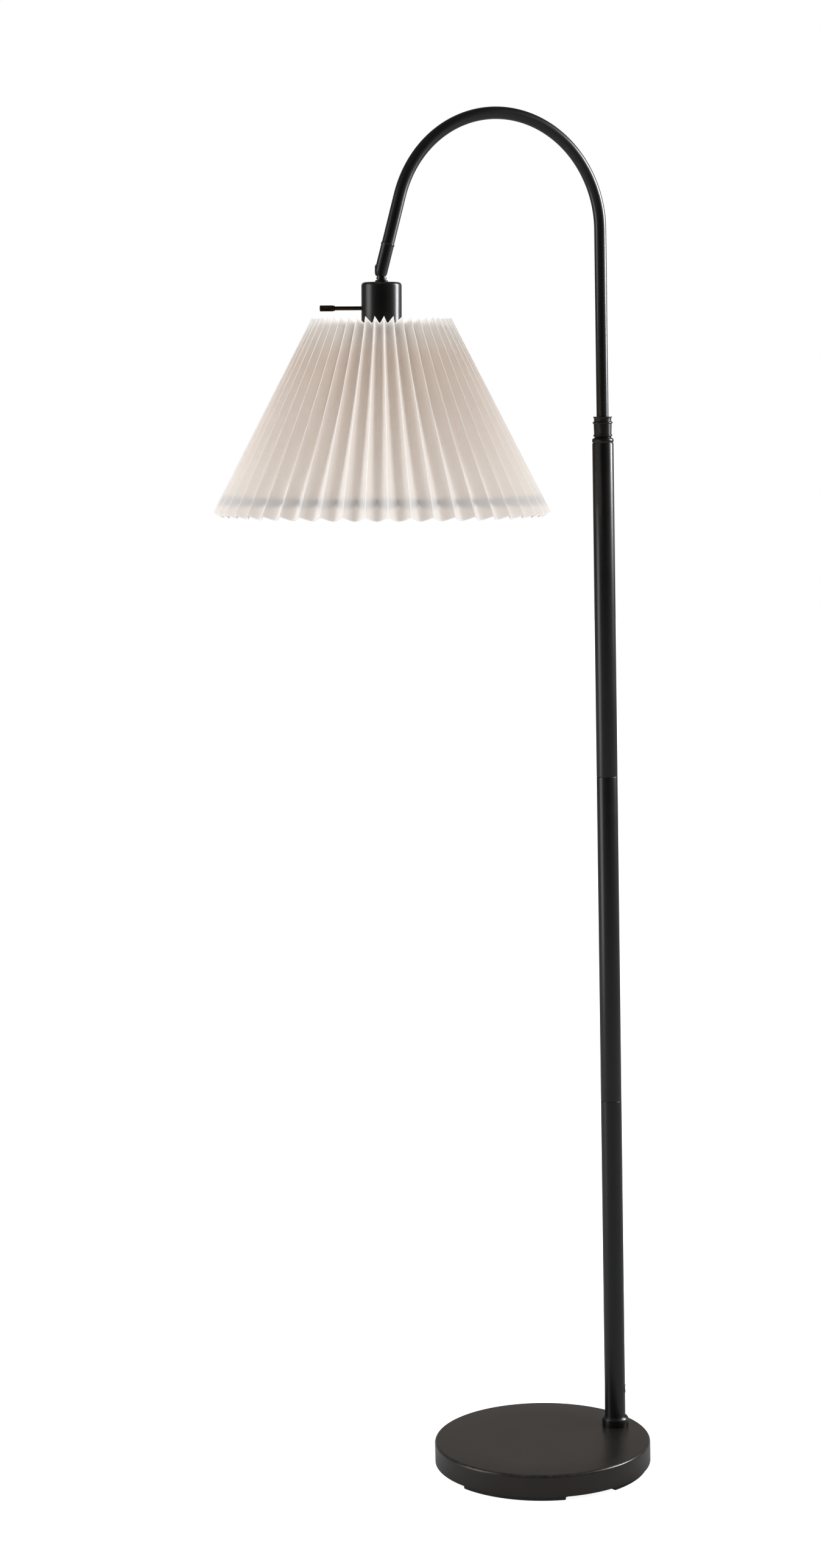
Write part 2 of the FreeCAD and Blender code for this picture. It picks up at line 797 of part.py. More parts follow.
def lock_ring():
    """The rounded ring on the shank, down on the cap."""
    low = -cap_top
    high = low + lock_ring_height
    side = lock_ring_radius - lock_ring_side_inset
    side_low = low + lock_ring_side_inset
    side_high = high - lock_ring_top_round
    bore = shank_radius + thread_clearance
    outline = [
        (bore, low),
        (neck_rod_radius + lock_ring_foot_width, low),
        (side, side_low),
        (side, side_high, (lock_ring_radius, (side_low + side_high) / 2)),
        (neck_flange_radius, high),
        (bore, high),
    ]
    return below_pivot(turned(outline))


def socket_cap():
    """The drawn cup over the lamp holder, with holes for the shank and the switch rod."""
    high = -cap_top
    low = high - cap_height
    r = cap_radius
    e = cap_edge_round
    inner_round = e - cap_wall
    hole = shank_radius + hole_clearance
    outline = [
        (hole, high - cap_wall),
        (r - e, high - cap_wall),
        arc_point((r - cap_wall, high - e), (r - e, high - e), inner_round, 45),
        (r - cap_wall, low),
        (r, low),
        (r, high - e),
        arc_point((r - e, high), (r - e, high - e), e, 45),
        (hole, high),
    ]
    side_hole = along_switch(switch_rod_radius + switch_entry_gap, 0, cap_radius * 2)
    return below_pivot(turned(outline).cut(side_hole))


def cap_washer():
    """The washer inside the cap."""
    high = -cap_top - cap_wall
    low = high - cap_washer_thickness
    return below_pivot(tube(cap_washer_radius, shank_radius + hole_clearance, low, high))


def cap_nut():
    """The nut that clamps the cap between itself and the lock ring."""
    high = -cap_top - cap_wall - cap_washer_thickness
    low = high - cap_nut_height
    nut = hexagon(cap_nut_across_flats, low, cap_nut_height)
    bore = Part.makeCylinder(shank_radius + thread_clearance, cap_nut_height, Vector(0, 0, low))
    return below_pivot(nut.cut(bore))


def along_switch(radius, inner, outer):
    """A cylinder along the switch's own axis, between two distances from the head's middle."""
    length = outer - inner
    bar = Part.makeCylinder(radius, length, Vector(-inner, 0, -switch_drop), Vector(-1, 0, 0))
    return turned_about(bar, Vector(0, 0, 0), Z, -switch_turn_deg)


def switch_pocket(top, bottom, grow):
    """The room for the switch's cam inside the holder."""
    half = switch_pocket_size / 2 + grow
    box = Part.makeBox(half * 2, half * 2, top - bottom, Vector(-half, -half, bottom))
    return turned_about(box, Vector(0, 0, 0), Z, -switch_turn_deg)


def holder_body():
    """The upper moulding of the lamp holder, screwed on the shank, with the switch's pocket."""
    outline = [
        (shank_radius + thread_clearance, -holder_shoulder + holder_boss_depth),
        (shank_radius + thread_clearance, -holder_top),
        (holder_boss_radius, -holder_top),
        (holder_boss_radius, -holder_shoulder + holder_boss_depth),
        (holder_radius - holder_shoulder_width, -holder_shoulder),
        (holder_radius, -holder_shoulder - holder_shoulder_width),
        (holder_radius, -holder_joint),
        (0, -holder_joint),
        (0, -shank_bottom - holder_shank_gap),
        (shank_radius + thread_clearance, -shank_bottom - holder_shank_gap),
    ]
    body = turned(outline)
    body = body.cut(switch_pocket(-switch_pocket_top, -holder_joint, 0))
    body = body.cut(along_switch(switch_rod_radius + running_fit, 0, holder_radius * 2))
    body = body.cut(barrel_blank(shank_bore_radius, -switch_pocket_top - drill_run_out, -shank_bottom))
    return below_pivot(one(body.cut(holder_screw_holes(holder_screw_radius))))


def holder_screw_places():
    """Where the two holder screws stand, across the switch's axis."""
    places = []
    for side in (-1, 1):
        angle = math.radians(90.0 * side - switch_turn_deg)
        places.append(Vector(math.cos(angle), math.sin(angle), 0) * holder_screw_circle)
    return places


def holder_screw_holes(radius):
    """The upright holes for the holder screws, through both mouldings."""
    low = -holder_bottom - drill_run_out
    length = holder_screw_length + drill_run_out * 1.2
    drills = [Part.makeCylinder(radius, length, place + Vector(0, 0, low)) for place in holder_screw_places()]
    return drills[0].fuse(drills[1])


def holder_sleeve():
    """The lower moulding: a floor over the screw shell and the skirt that carries the shade's nut."""
    inner = shell_outer_radius + shell_gap
    outline = [
        (0, -holder_joint),
        (holder_radius, -holder_joint),
        (holder_radius, -holder_bottom + holder_foot_chamfer),
        (holder_radius - holder_foot_chamfer, -holder_bottom),
        (inner, -holder_bottom),
        (inner, -holder_joint - holder_floor),
        (0, -holder_joint - holder_floor),
    ]
    body = turned(outline).cut(holder_screw_holes(holder_screw_radius))
    for place in holder_screw_places():
        low = Vector(0, 0, -holder_bottom - drill_run_out)
        sink = Part.makeCylinder(
            holder_screw_head_radius + hole_clearance,
            holder_screw_head_height + drill_run_out + bearing_gap,
            place + low,
        )
        body = body.cut(sink)
    return below_pivot(one(body))


def holder_screws():
    """The two long screws that hold the holder's mouldings together."""
    screws = []
    for place in holder_screw_places():
        low = Vector(0, 0, -holder_bottom + bearing_gap)
        head = Part.makeCylinder(holder_screw_head_radius, holder_screw_head_height, place + low)
        slot = Part.makeBox(
            holder_screw_head_radius * 3,
            holder_screw_slot,
            holder_screw_slot,
            place + low - Vector(holder_screw_head_radius * 1.5, holder_screw_slot / 2, 0),
        )
        shank = Part.makeCylinder(holder_screw_radius - insert_clearance, holder_screw_length, place + low)
        screws.append(below_pivot(one(shank.fuse(head).removeSplitter().cut(slot))))
    return Part.makeCompound(screws)


def screw_shell():
    """The brass screw shell for the bulb."""
    high = -holder_joint - holder_floor
    low = high - shell_length
    inner = shell_outer_radius - shell_wall
    shell = tube(shell_outer_radius, inner, low, high)
    roof = tube(shell_outer_radius, contact_length / 2 + shell_roof_margin, high - shell_wall, high)
    return below_pivot(shell.fuse(roof).removeSplitter())


def centre_contact():
    """The springy tongue that meets the bulb's tip."""
    top = -holder_joint - holder_floor
    half = contact_length / 2
    thick = contact_thickness
    tip = top - contact_rise
    end = half - contact_end_inset
    points = [
        Vector(-half, 0, top),
        Vector(-half + contact_foot, 0, top),
        Vector(0, 0, tip + thick),
        Vector(end, 0, tip + thick + contact_spring),
        Vector(end, 0, tip + contact_spring),
        Vector(0, 0, tip),
        Vector(-half + contact_foot - thick, 0, top - thick),
        Vector(-half, 0, top - thick),
        Vector(-half, 0, top),
    ]
    tongue = Part.Face(Part.makePolygon(points)).extrude(Vector(0, contact_width, 0))
    return below_pivot(moved(tongue, Vector(0, -contact_width / 2, 0)))


def switch_rod():
    """The long rod of the rotary switch."""
    outer = switch_knob_reach + switch_knob_socket
    return below_pivot(along_switch(switch_rod_radius, switch_rod_inner_end, outer))


def switch_knob():
    """The small round knob on the rod's end."""
    bar = Part.makeCylinder(
        switch_knob_radius,
        switch_knob_length,
        Vector(-switch_knob_reach, 0, -switch_drop),
        Vector(-1, 0, 0),
    )
    rims = [edge for edge in bar.Edges if edge.BoundBox.XLength < 0.01]
    knob = turned_about(bar.makeFillet(switch_knob_round, rims), Vector(0, 0, 0), Z, -switch_turn_deg)
    socket_end = switch_knob_reach + switch_knob_socket + insert_clearance
    return below_pivot(one(knob.cut(along_switch(switch_rod_radius + insert_clearance, 0, socket_end))))


def switch_cam():
    """The ratchet cam on the inner end of the rod."""
    outer = switch_cam_start + switch_cam_length
    cam = along_switch(switch_cam_radius, switch_cam_start, outer)
    cam = cam.cut(along_switch(switch_rod_radius + insert_clearance, 0, outer))
    return below_pivot(one(cam))


def switch_leaf():
    """The brass leaf that the cam works against, hung from the roof of the pocket."""
    near = switch_cam_radius + switch_leaf_gap
    middle = -switch_cam_start - switch_cam_length / 2
    corner = Vector(middle - switch_leaf_width / 2, near, -switch_drop - switch_cam_radius)
    height = switch_drop + switch_cam_radius - switch_pocket_top
    leaf = Part.makeBox(switch_leaf_width, switch_leaf_thickness, height, corner)
    return below_pivot(turned_about(leaf, Vector(0, 0, 0), Z, -switch_turn_deg))


# ---------------------------------------------------------------- shade pieces
shade_slope = math.atan2(shade_bottom_radius - shade_top_radius, shade_height)
half_pleat = math.pi / pleat_count


def pleat_depth(ridge_radius):
    """How deep a pleat of the fixed panel width folds where its ridges lie at ridge_radius."""
    chord = 4.0 * math.sin(half_pleat / 2.0) ** 2
    depth = pleat_width / 2.0
    for _ in range(20):
        valley = ridge_radius - depth * math.cos(shade_slope)
        depth = math.sqrt(pleat_width ** 2 - chord * ridge_radius * valley)
    return depth


def fold_points(ridge_radius, ridge_height):
    """The (radius, height) of the ridge and valley folds, on the outer and the inner face."""
    depth = pleat_depth(ridge_radius)
    half_pitch = ridge_radius * half_pleat
    skin = fabric_thickness * pleat_width / half_pitch
    across = math.cos(shade_slope)
    along = math.sin(shade_slope)
    points = {}
    for name, sink in (("ridge", 0.0), ("valley", depth)):
        points[name, "outer"] = (ridge_radius - sink * across, ridge_height - sink * along)
        inner = sink + skin
        points[name, "inner"] = (ridge_radius - inner * across, ridge_height - inner * along)
    return points


shade_top_folds = fold_points(shade_top_radius, -shade_top_drop)
shade_bottom_folds = fold_points(shade_bottom_radius, -shade_top_drop - shade_height)


def valley_inner_radius(height):
    """How far the innermost folds stand from the shade's axis at a height below the pivot."""
    top = shade_top_folds["valley", "inner"]
    bottom = shade_bottom_folds["valley", "inner"]
    share = (height - top[1]) / (bottom[1] - top[1])
    return top[0] + share * (bottom[0] - top[0])


def shade_fabric():
    """The pleated shade: straight folds round a cone, as one closed skin of even thickness."""
    def corner(end, name, side, step):
        radius, height = end[name, side]
        angle = step * half_pleat
        return Vector(radius * math.cos(angle), radius * math.sin(angle), height)

    faces = []

    def patch(a, b, c, d):
        faces.append(Part.Face(Part.makePolygon([a, b, c, a])))
        faces.append(Part.Face(Part.makePolygon([a, c, d, a])))

    for step in range(pleat_count * 2):
        here = "ridge" if step % 2 == 0 else "valley"
        there = "valley" if step % 2 == 0 else "ridge"
        grid = {}
        for side in ("outer", "inner"):
            for end_name, end in (("top", shade_top_folds), ("bottom", shade_bottom_folds)):
                grid[side, end_name, 0] = corner(end, here, side, step)
                grid[side, end_name, 1] = corner(end, there, side, step + 1)
        for side in ("outer", "inner"):
            patch(
                grid[side, "top", 0], grid[side, "top", 1],
                grid[side, "bottom", 1], grid[side, "bottom", 0],
            )
        for end_name in ("top", "bottom"):
            patch(
                grid["outer", end_name, 0], grid["outer", end_name, 1],
                grid["inner", end_name, 1], grid["inner", end_name, 0],
            )
    shell = Part.Shell(faces)
    shell.sewShape()
    solid = Part.Solid(Part.Shell(shell.Faces))
    if solid.Volume < 0:
        solid.reverse()
    return below_pivot(solid)


fitter_top = -cap_top - cap_height
top_ring_height = fitter_top - fitter_thickness / 2
bottom_ring_height = shade_bottom_folds["valley", "inner"][1] + bottom_ring_rise


def tape_radius(height):
    """The outer radius of a ring tape at a height: just inside the folds."""
    return valley_inner_radius(height) - shade_ring_gap


def ring_radius(height, wire):
    """The middle radius of a wire ring that lies inside its tape."""
    across = math.cos(shade_slope)
    return tape_radius(height) - (tape_thickness + shade_ring_gap + wire) / across


def ring_tape(height):
    """A flat tape round the inside of the folds, across a wire ring."""
    half = tape_width / 2 * math.cos(shade_slope)
    low = height - half
    high = height + half
    thick = tape_thickness / math.cos(shade_slope)
    outline = [
        (tape_radius(low) - thick, low),
        (tape_radius(low), low),
        (tape_radius(high), high),
        (tape_radius(high) - thick, high),
    ]
    return below_pivot(turned(outline))


def shade_frame():
    """The welded shade carrier: fitter ring, three arms and the top ring."""
    bore = holder_radius + fitter_gap
    fitter = tube(fitter_outer_radius, bore, fitter_top - fitter_thickness, fitter_top)
    ring_middle = ring_radius(top_ring_height, top_ring_wire)
    ring = Part.makeTorus(ring_middle, top_ring_wire, Vector(0, 0, top_ring_height), Z)
    arms = []
    for index in range(spider_arms):
        angle = spider_first_deg + index * 360.0 / spider_arms
        start = fitter_outer_radius - spider_overlap
        drop = -spider_wire + fitter_thickness / 2 - thread_clearance
        arm = Part.makeCylinder(
            spider_wire,
            ring_middle - start,
            Vector(start, 0, top_ring_height + drop),
            Vector(1, 0, 0),
        )
        arms.append(turned_about(arm, Vector(0, 0, 0), Z, angle))
    return below_pivot(one(fitter.fuse([ring] + arms).removeSplitter()))


def shade_bottom_ring():
    """The wire ring that keeps the shade's mouth round."""
    middle = ring_radius(bottom_ring_height, bottom_ring_wire)
    return below_pivot(Part.makeTorus(middle, bottom_ring_wire, Vector(0, 0, bottom_ring_height), Z))


def shade_ring_nut():
    """The fluted nut that holds the shade's fitter up against the cap."""
    high = fitter_top - fitter_thickness
    low = high - ring_nut_height
    r = ring_nut_outer_radius
    bore = holder_radius + thread_clearance
    outline = [
        (bore, low),
        (r - ring_nut_chamfer, low),
        (r, low + ring_nut_chamfer),
        (r, high),
        (bore, high),
    ]
    nut = turned(outline)
    flute = Part.makeCylinder(ring_nut_flute_radius, ring_nut_height, Vector(r + ring_nut_flute_set, 0, low))
    step = 360.0 / ring_nut_flutes
    flutes = [turned_about(flute, Vector(0, 0, 0), Z, step * index) for index in range(ring_nut_flutes)]
    return below_pivot(one(nut.cut(flutes)))


# ---------------------------------------------------------------- bulb pieces
bulb_tip_top = -holder_joint - holder_floor - contact_rise - bulb_contact_gap
bulb_cap_top = bulb_tip_top - bulb_tip_height - bulb_insulator_height
bulb_cap_bottom = bulb_cap_top - bulb_cap_length
bulb_bottom = bulb_tip_top - bulb_length


def bulb_screw_cap():
    """The bulb's thin metal screw cap, with its thread as rounded ribs."""
    outline = [(bulb_cap_radius - bulb_thread_depth - bulb_cap_wall, bulb_cap_bottom)]
    r = bulb_cap_radius - bulb_thread_depth
    outline.append((r, bulb_cap_bottom))
    height = bulb_cap_bottom + bulb_thread_start
    outline.append((r, height))
    for _ in range(bulb_thread_turns):
        outline.append((r, height + bulb_thread_pitch, (bulb_cap_radius, height + bulb_thread_pitch / 2)))
        height += bulb_thread_pitch
    outline.append((r - bulb_cap_roof_inset, bulb_cap_top))
    outline.append((r - bulb_cap_roof_inset - bulb_cap_wall, bulb_cap_top))
    outline.append((r - bulb_cap_wall, height))
    return below_pivot(turned(outline))


def bulb_insulator():
    """The dark insulator between the screw cap and the tip."""
    outline = [
        (0, bulb_cap_top),
        (bulb_cap_radius - bulb_thread_depth - bulb_insulator_inset, bulb_cap_top),
        (bulb_tip_radius, bulb_tip_top - bulb_tip_height),
        (0, bulb_tip_top - bulb_tip_height),
    ]
    return below_pivot(turned(outline))


def bulb_tip():
    """The solder-like contact at the bulb's end."""
    low = bulb_tip_top - bulb_tip_height
    dome = (bulb_tip_radius ** 2 + bulb_tip_height ** 2) / (2 * bulb_tip_height)
    half = bulb_tip_radius / 2
    rise = math.sqrt(dome ** 2 - half ** 2) - dome
    outline = [
        (0, low),
        (bulb_tip_radius, low),
        (0, bulb_tip_top, (half, bulb_tip_top + rise)),
    ]
    return below_pivot(turned(outline))


def bulb_collar():
    """The bulb's plastic body between the screw cap and the globe."""
    low = bulb_cap_bottom - bulb_collar_length
    outline = [
        (0, bulb_cap_bottom),
        (bulb_cap_radius - bulb_thread_depth + bulb_collar_lip, bulb_cap_bottom),
        (bulb_cap_radius + bulb_collar_step, bulb_cap_bottom - bulb_collar_step_height),
        (bulb_collar_top_radius, low + bulb_collar_chamfer * 2),
        (bulb_collar_top_radius - bulb_collar_chamfer, low),
        (0, low),
    ]
    return below_pivot(turned(outline))


def bulb_globe():
    """The bulb's diffuser: a round dome below its widest line and a short cone above it."""
    top = bulb_cap_bottom - bulb_collar_length
    centre = bulb_bottom + bulb_globe_radius
    lift = top - centre
    side = (bulb_globe_radius * bulb_side_bulge, centre + lift * bulb_side_height)
    down = math.radians(-45.0)
    dome = (bulb_globe_radius * math.cos(down), centre + bulb_globe_radius * math.sin(down))
    outline = [
        (0, top),
        (bulb_collar_top_radius - bulb_seam_inset, top),
        (bulb_globe_radius, centre, side),
        (0, bulb_bottom, dome),
    ]
    return below_pivot(turned(outline))


def all_nodes():
    """Every piece by name, each with the function that makes it."""
    return {
        "base_cover": base_cover,
        "base_weight": base_weight,
        "base_floor_plate": base_floor_plate,
        "foot_pads": foot_pads,
        "centre_pad": centre_pad,
        "base_washer": base_washer,
        "base_nut": base_nut,
        "base_stud": base_stud,
        "foot_collar": foot_collar,
        "pole_lower": lower_pole_with_inlet,
        "pole_middle": lambda: pole_section(1),
        "pole_upper": lambda: pole_section(2),
        "pole_inserts": pole_inserts,
        "pole_joint_studs": pole_joint_studs,
        "cord_grommet": cord_grommet,
        "pole_lead": pole_lead,
        "neck_collar": neck_collar,
        "swivel_sleeve": swivel_sleeve,
        "arc_tube": arc_tube,
        "arm_stop_ring": arm_stop_ring,
        "arm_lead": arm_lead,
        "arm_knuckle": arm_knuckle,
        "pivot_screw": pivot_screw,
        "spring_washer": spring_washer,
        "head_knuckle": head_knuckle,
        "friction_washer": friction_washer,
        "lock_ring": lock_ring,
        "socket_cap": socket_cap,
        "cap_washer": cap_washer,
        "cap_nut": cap_nut,
        "holder_body": holder_body,
        "holder_sleeve": holder_sleeve,
        "holder_screws": holder_screws,
        "screw_shell": screw_shell,
        "centre_contact": centre_contact,
        "switch_rod": switch_rod,
        "switch_knob": switch_knob,
        "switch_cam": switch_cam,
        "switch_leaf": switch_leaf,
        "shade_fabric": shade_fabric,
        "shade_frame": shade_frame,
        "shade_bottom_ring": shade_bottom_ring,
        "shade_top_tape": lambda: ring_tape(top_ring_height),
        "shade_bottom_tape": lambda: ring_tape(bottom_ring_height),
        "shade_ring_nut": shade_ring_nut,
        "bulb_screw_cap": bulb_screw_cap,
        "bulb_insulator": bulb_insulator,
        "bulb_tip": bulb_tip,
        "bulb_collar": bulb_collar,
        "bulb_globe": bulb_globe,
    }


def main():
    os.makedirs("parts", exist_ok=True)
    for name, make in all_nodes().items():
        shape = make()
        if not shape.isValid():
            print(name, "is not a valid shape")
        solids = shape.Solids
        volume = sum(solid.Volume for solid in solids)
        box = shape.BoundBox
        print(
            f"{name:20s} solids {len(solids)} volume {volume:12.1f} "
            f"x {box.XMin:8.2f} {box.XMax:8.2f} y {box.YMin:8.2f} {box.YMax:8.2f} "
            f"z {box.ZMin:8.2f} {box.ZMax:8.2f}"
        )
        one(shape).exportStep(f"parts/{name}.step")


main()
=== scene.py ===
"""Arc floor lamp with a pleated shade: the lamp's looks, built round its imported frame.

Sizes are in millimetres, in the words of the people who make such a lamp. Meshes are made in
metres, in the frame's own axes: +Z is up, the middle of the round base is the origin, the pole
stands at +X, and the arm arches back over the base towards -X.
"""

from __future__ import annotations

import json
import logging
import math
from dataclasses import dataclass, field
from enum import Enum
from typing import Callable, Sequence

import bmesh
import bpy
from mathutils import Matrix, Vector

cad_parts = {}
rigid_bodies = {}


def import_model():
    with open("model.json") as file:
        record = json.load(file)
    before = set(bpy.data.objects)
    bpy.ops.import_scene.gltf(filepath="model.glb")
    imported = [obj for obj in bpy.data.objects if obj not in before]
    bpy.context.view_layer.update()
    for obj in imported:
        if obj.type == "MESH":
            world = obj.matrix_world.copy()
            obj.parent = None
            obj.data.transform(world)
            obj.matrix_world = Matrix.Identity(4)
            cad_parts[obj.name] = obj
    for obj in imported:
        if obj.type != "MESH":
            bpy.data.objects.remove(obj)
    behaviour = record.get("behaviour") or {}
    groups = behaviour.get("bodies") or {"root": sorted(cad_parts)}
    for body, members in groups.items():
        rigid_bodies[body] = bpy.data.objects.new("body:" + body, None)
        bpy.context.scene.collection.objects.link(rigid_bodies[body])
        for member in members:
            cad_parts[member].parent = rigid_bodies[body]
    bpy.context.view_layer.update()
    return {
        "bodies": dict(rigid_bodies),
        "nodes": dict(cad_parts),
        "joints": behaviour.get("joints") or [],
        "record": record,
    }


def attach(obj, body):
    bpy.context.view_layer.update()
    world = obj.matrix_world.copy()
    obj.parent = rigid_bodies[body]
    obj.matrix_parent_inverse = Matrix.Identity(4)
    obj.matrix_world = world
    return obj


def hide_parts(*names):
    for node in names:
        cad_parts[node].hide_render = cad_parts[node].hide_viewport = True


MM = 0.001
SMOOTH_DEG = 32.0
FULL_TURN = 2.0 * math.pi
LOG = logging.getLogger("arc_lamp")

Colour = tuple[float, float, float]
Corner = tuple[float, float, float]

WHITE: Colour = (1.0, 1.0, 1.0)
DUST_ON_BLACK: Colour = (0.16, 0.15, 0.14)
DUST_ON_MOULDED: Colour = (0.42, 0.40, 0.37)


class Body(Enum):
    """The lamp's moving bodies, as the frame names them."""

    STAND = "stand"
    ARM = "arm"
    HEAD = "head"
    SWITCH = "switch"


# ---------------------------------------------------------------- node wiring
class Wire:
    """One value in a node tree. Arithmetic on it adds Math nodes to that tree."""

    def __init__(self, bench: Bench, socket: bpy.types.NodeSocket) -> None:
        """Keeps the bench of the value's tree and the output socket that carries it."""
        self.bench = bench
        self.socket = socket

    def math(self, operation: str, *others: Wire | float, clamp: bool = False) -> Wire:
        """Adds one Math node whose first input is this value.

        Args:
            operation: The Math node's operation.
            others: Its other inputs, values or plain numbers.
            clamp: Whether the result is kept between 0 and 1.

        Returns:
            The result.
        """
        node = self.bench.node("ShaderNodeMath", operation=operation, use_clamp=clamp)
        for socket, value in zip(node.inputs, (self, *others)):
            self.bench.feed(socket, value)
        return Wire(self.bench, node.outputs[0])

    def __add__(self, other: Wire | float) -> Wire:
        """The sum."""
        return self.math("ADD", other)

    def __sub__(self, other: Wire | float) -> Wire:
        """The difference."""
        return self.math("SUBTRACT", other)

    def __mul__(self, other: Wire | float) -> Wire:
        """The product."""
        return self.math("MULTIPLY", other)

    def __truediv__(self, other: Wire | float) -> Wire:
        """The quotient."""
        return self.math("DIVIDE", other)

    def minus_from(self, number: float) -> Wire:
        """The number less this value."""
        return (self * -1.0) + number

    def sine(self) -> Wire:
        """The sine."""
        return self.math("SINE")

    def cosine(self) -> Wire:
        """The cosine."""
        return self.math("COSINE")

    def root(self) -> Wire:
        """The square root."""
        return self.math("SQRT")

    def size(self) -> Wire:
        """The value without its sign."""
        return self.math("ABSOLUTE")

    def per_metre(self) -> Wire:
        """How often a size in millimetres goes into a metre."""
        return (self * MM).math("POWER", -1.0)

    def held(self) -> Wire:
        """The value kept between 0 and 1."""
        return self.math("ADD", 0.0, clamp=True)


class Bench:
    """Builds one node tree: adds nodes, sets their values and joins them."""

    def __init__(self, tree: bpy.types.NodeTree) -> None:
        """Starts on the tree that the nodes go in."""
        self.tree = tree

    @classmethod
    def cleared(cls, holder: bpy.types.Material | bpy.types.World) -> Bench:
        """A bench on the emptied tree of a material or a world.

        Args:
            holder: The material or world.

        Returns:
            The bench.
        """
        holder.use_nodes = True
        holder.node_tree.nodes.clear()
        return cls(holder.node_tree)

    def node(self, kind: str, **settings: object) -> bpy.types.Node:
        """Adds a node and sets its own properties.

        Args:
            kind: The node's type.
            settings: Its properties by name.

        Returns:
            The node.
        """
        made = self.tree.nodes.new(kind)
        for name, value in settings.items():
            setattr(made, name, value)
        return made

    def feed(self, socket: bpy.types.NodeSocket, value: object) -> None:
        """Joins a value to a socket, or sets the socket to a plain number or colour.

        Args:
            socket: The input socket.
            value: The value, or a plain number or colour.
        """
        if isinstance(value, Wire):
            self.tree.links.new(value.socket, socket)
        else:
            socket.default_value = (*value, 1.0) if socket.type == "RGBA" else value

    def use(
        self, kind: str, out: str | int = 0, settings: dict | None = None, **inputs: object
    ) -> Wire:
        """Adds a node, feeds its named inputs and gives one of its outputs.

        Args:
            kind: The node's type.
            out: The wanted output's name or place.
            settings: The node's own properties.
            inputs: What feeds its inputs, by socket name with spaces as underscores.

        Returns:
            The output.
        """
        made = self.node(kind, **(settings or {}))
        for name, value in inputs.items():
            self.feed(made.inputs[name.replace("_", " ")], value)
        return Wire(self, made.outputs[out])

    def numbered(self, kind: str, out: int, settings: dict, inputs: dict[int, object]) -> Wire:
        """Like use, for a node whose inputs share a name and are told apart by place.

        Args:
            kind: The node's type.
            out: The wanted output's place.
            settings: Its properties by name.
            inputs: What feeds its inputs, by place.

        Returns:
            The output.
        """
        made = self.node(kind, **settings)
        for place, value in inputs.items():
            self.feed(made.inputs[place], value)
        return Wire(self, made.outputs[out])

    def vector(self, x: object = 0.0, y: object = 0.0, z: object = 0.0) -> Wire:
        """Three values as one vector."""
        return self.use("ShaderNodeCombineXYZ", X=x, Y=y, Z=z)

    def parts(self, vector: Wire) -> tuple[Wire, Wire, Wire]:
        """A vector's three values.

        Args:
            vector: The vector.

        Returns:
            The three values.
        """
        made = self.node("ShaderNodeSeparateXYZ")
        self.feed(made.inputs[0], vector)
        return tuple(Wire(self, socket) for socket in made.outputs)

    def blend(self, factor: object, first: object, second: object) -> Wire:
        """A mix of two colours."""
        places = {0: factor, 6: first, 7: second}
        return self.numbered("ShaderNodeMix", 2, {"data_type": "RGBA"}, places)

    def between(self, share: Wire, low: object, high: object) -> Wire:
        """The value that lies share of the way from low to high."""
        places = {0: share, 2: low, 3: high}
        return self.numbered("ShaderNodeMix", 0, {"data_type": "FLOAT"}, places)

    def ramp(self, value: Wire, low: float, high: float) -> Wire:
        """A value stretched so that low becomes 0 and high becomes 1, smoothly."""
        inputs = {"Value": value, "From_Min": low, "From_Max": high}
        return self.use("ShaderNodeMapRange", 0, {"interpolation_type": "SMOOTHSTEP"}, **inputs)

    def noise(
        self, place: Wire, scale: object, detail: float = 2.0, roughness: float = 0.5
    ) -> Wire:
        """Smooth noise from 0 to 1 at a place."""
        inputs = {"Vector": place, "Scale": scale, "Detail": detail, "Roughness": roughness}
        return self.use("ShaderNodeTexNoise", **inputs)

    def carried(self, name: str) -> Wire:
        """A value that the mesh carries under a name."""
        return self.use("ShaderNodeAttribute", "Fac", {"attribute_name": name})

    def principled(self, **inputs: object) -> Wire:
        """The main surface shader."""
        return self.use("ShaderNodeBsdfPrincipled", **inputs)

    def stored(self, geometry: Wire, name: str, value: Wire, kind: str, domain: str) -> Wire:
        """A geometry with a value stored on it.

        Args:
            geometry: The geometry.
            name: The name that it is stored under.
            value: The value.
            kind: Its data type.
            domain: Whether points or corners carry it.

        Returns:
            The geometry.
        """
        made = self.node("GeometryNodeStoreNamedAttribute", data_type=kind, domain=domain)
        self.feed(made.inputs["Geometry"], geometry)
        self.feed(made.inputs["Name"], name)
        self.feed(next(s for s in made.inputs if s.name == "Value" and s.enabled), value)
        return Wire(self, made.outputs[0])

    def moved(self, geometry: Wire, position: Wire) -> Wire:
        """Puts each point of a geometry at a computed position."""
        return self.use("GeometryNodeSetPosition", Geometry=geometry, Position=position)


class Effect(Enum):
    """The shader effects that several finishes share, each one node group."""

    GRAIN = "coat_grain"
    WEAR = "edge_wear"
    DUST = "settled_dust"
    WEAVE = "linen_weave"
    BRUSH = "brushed_lines"


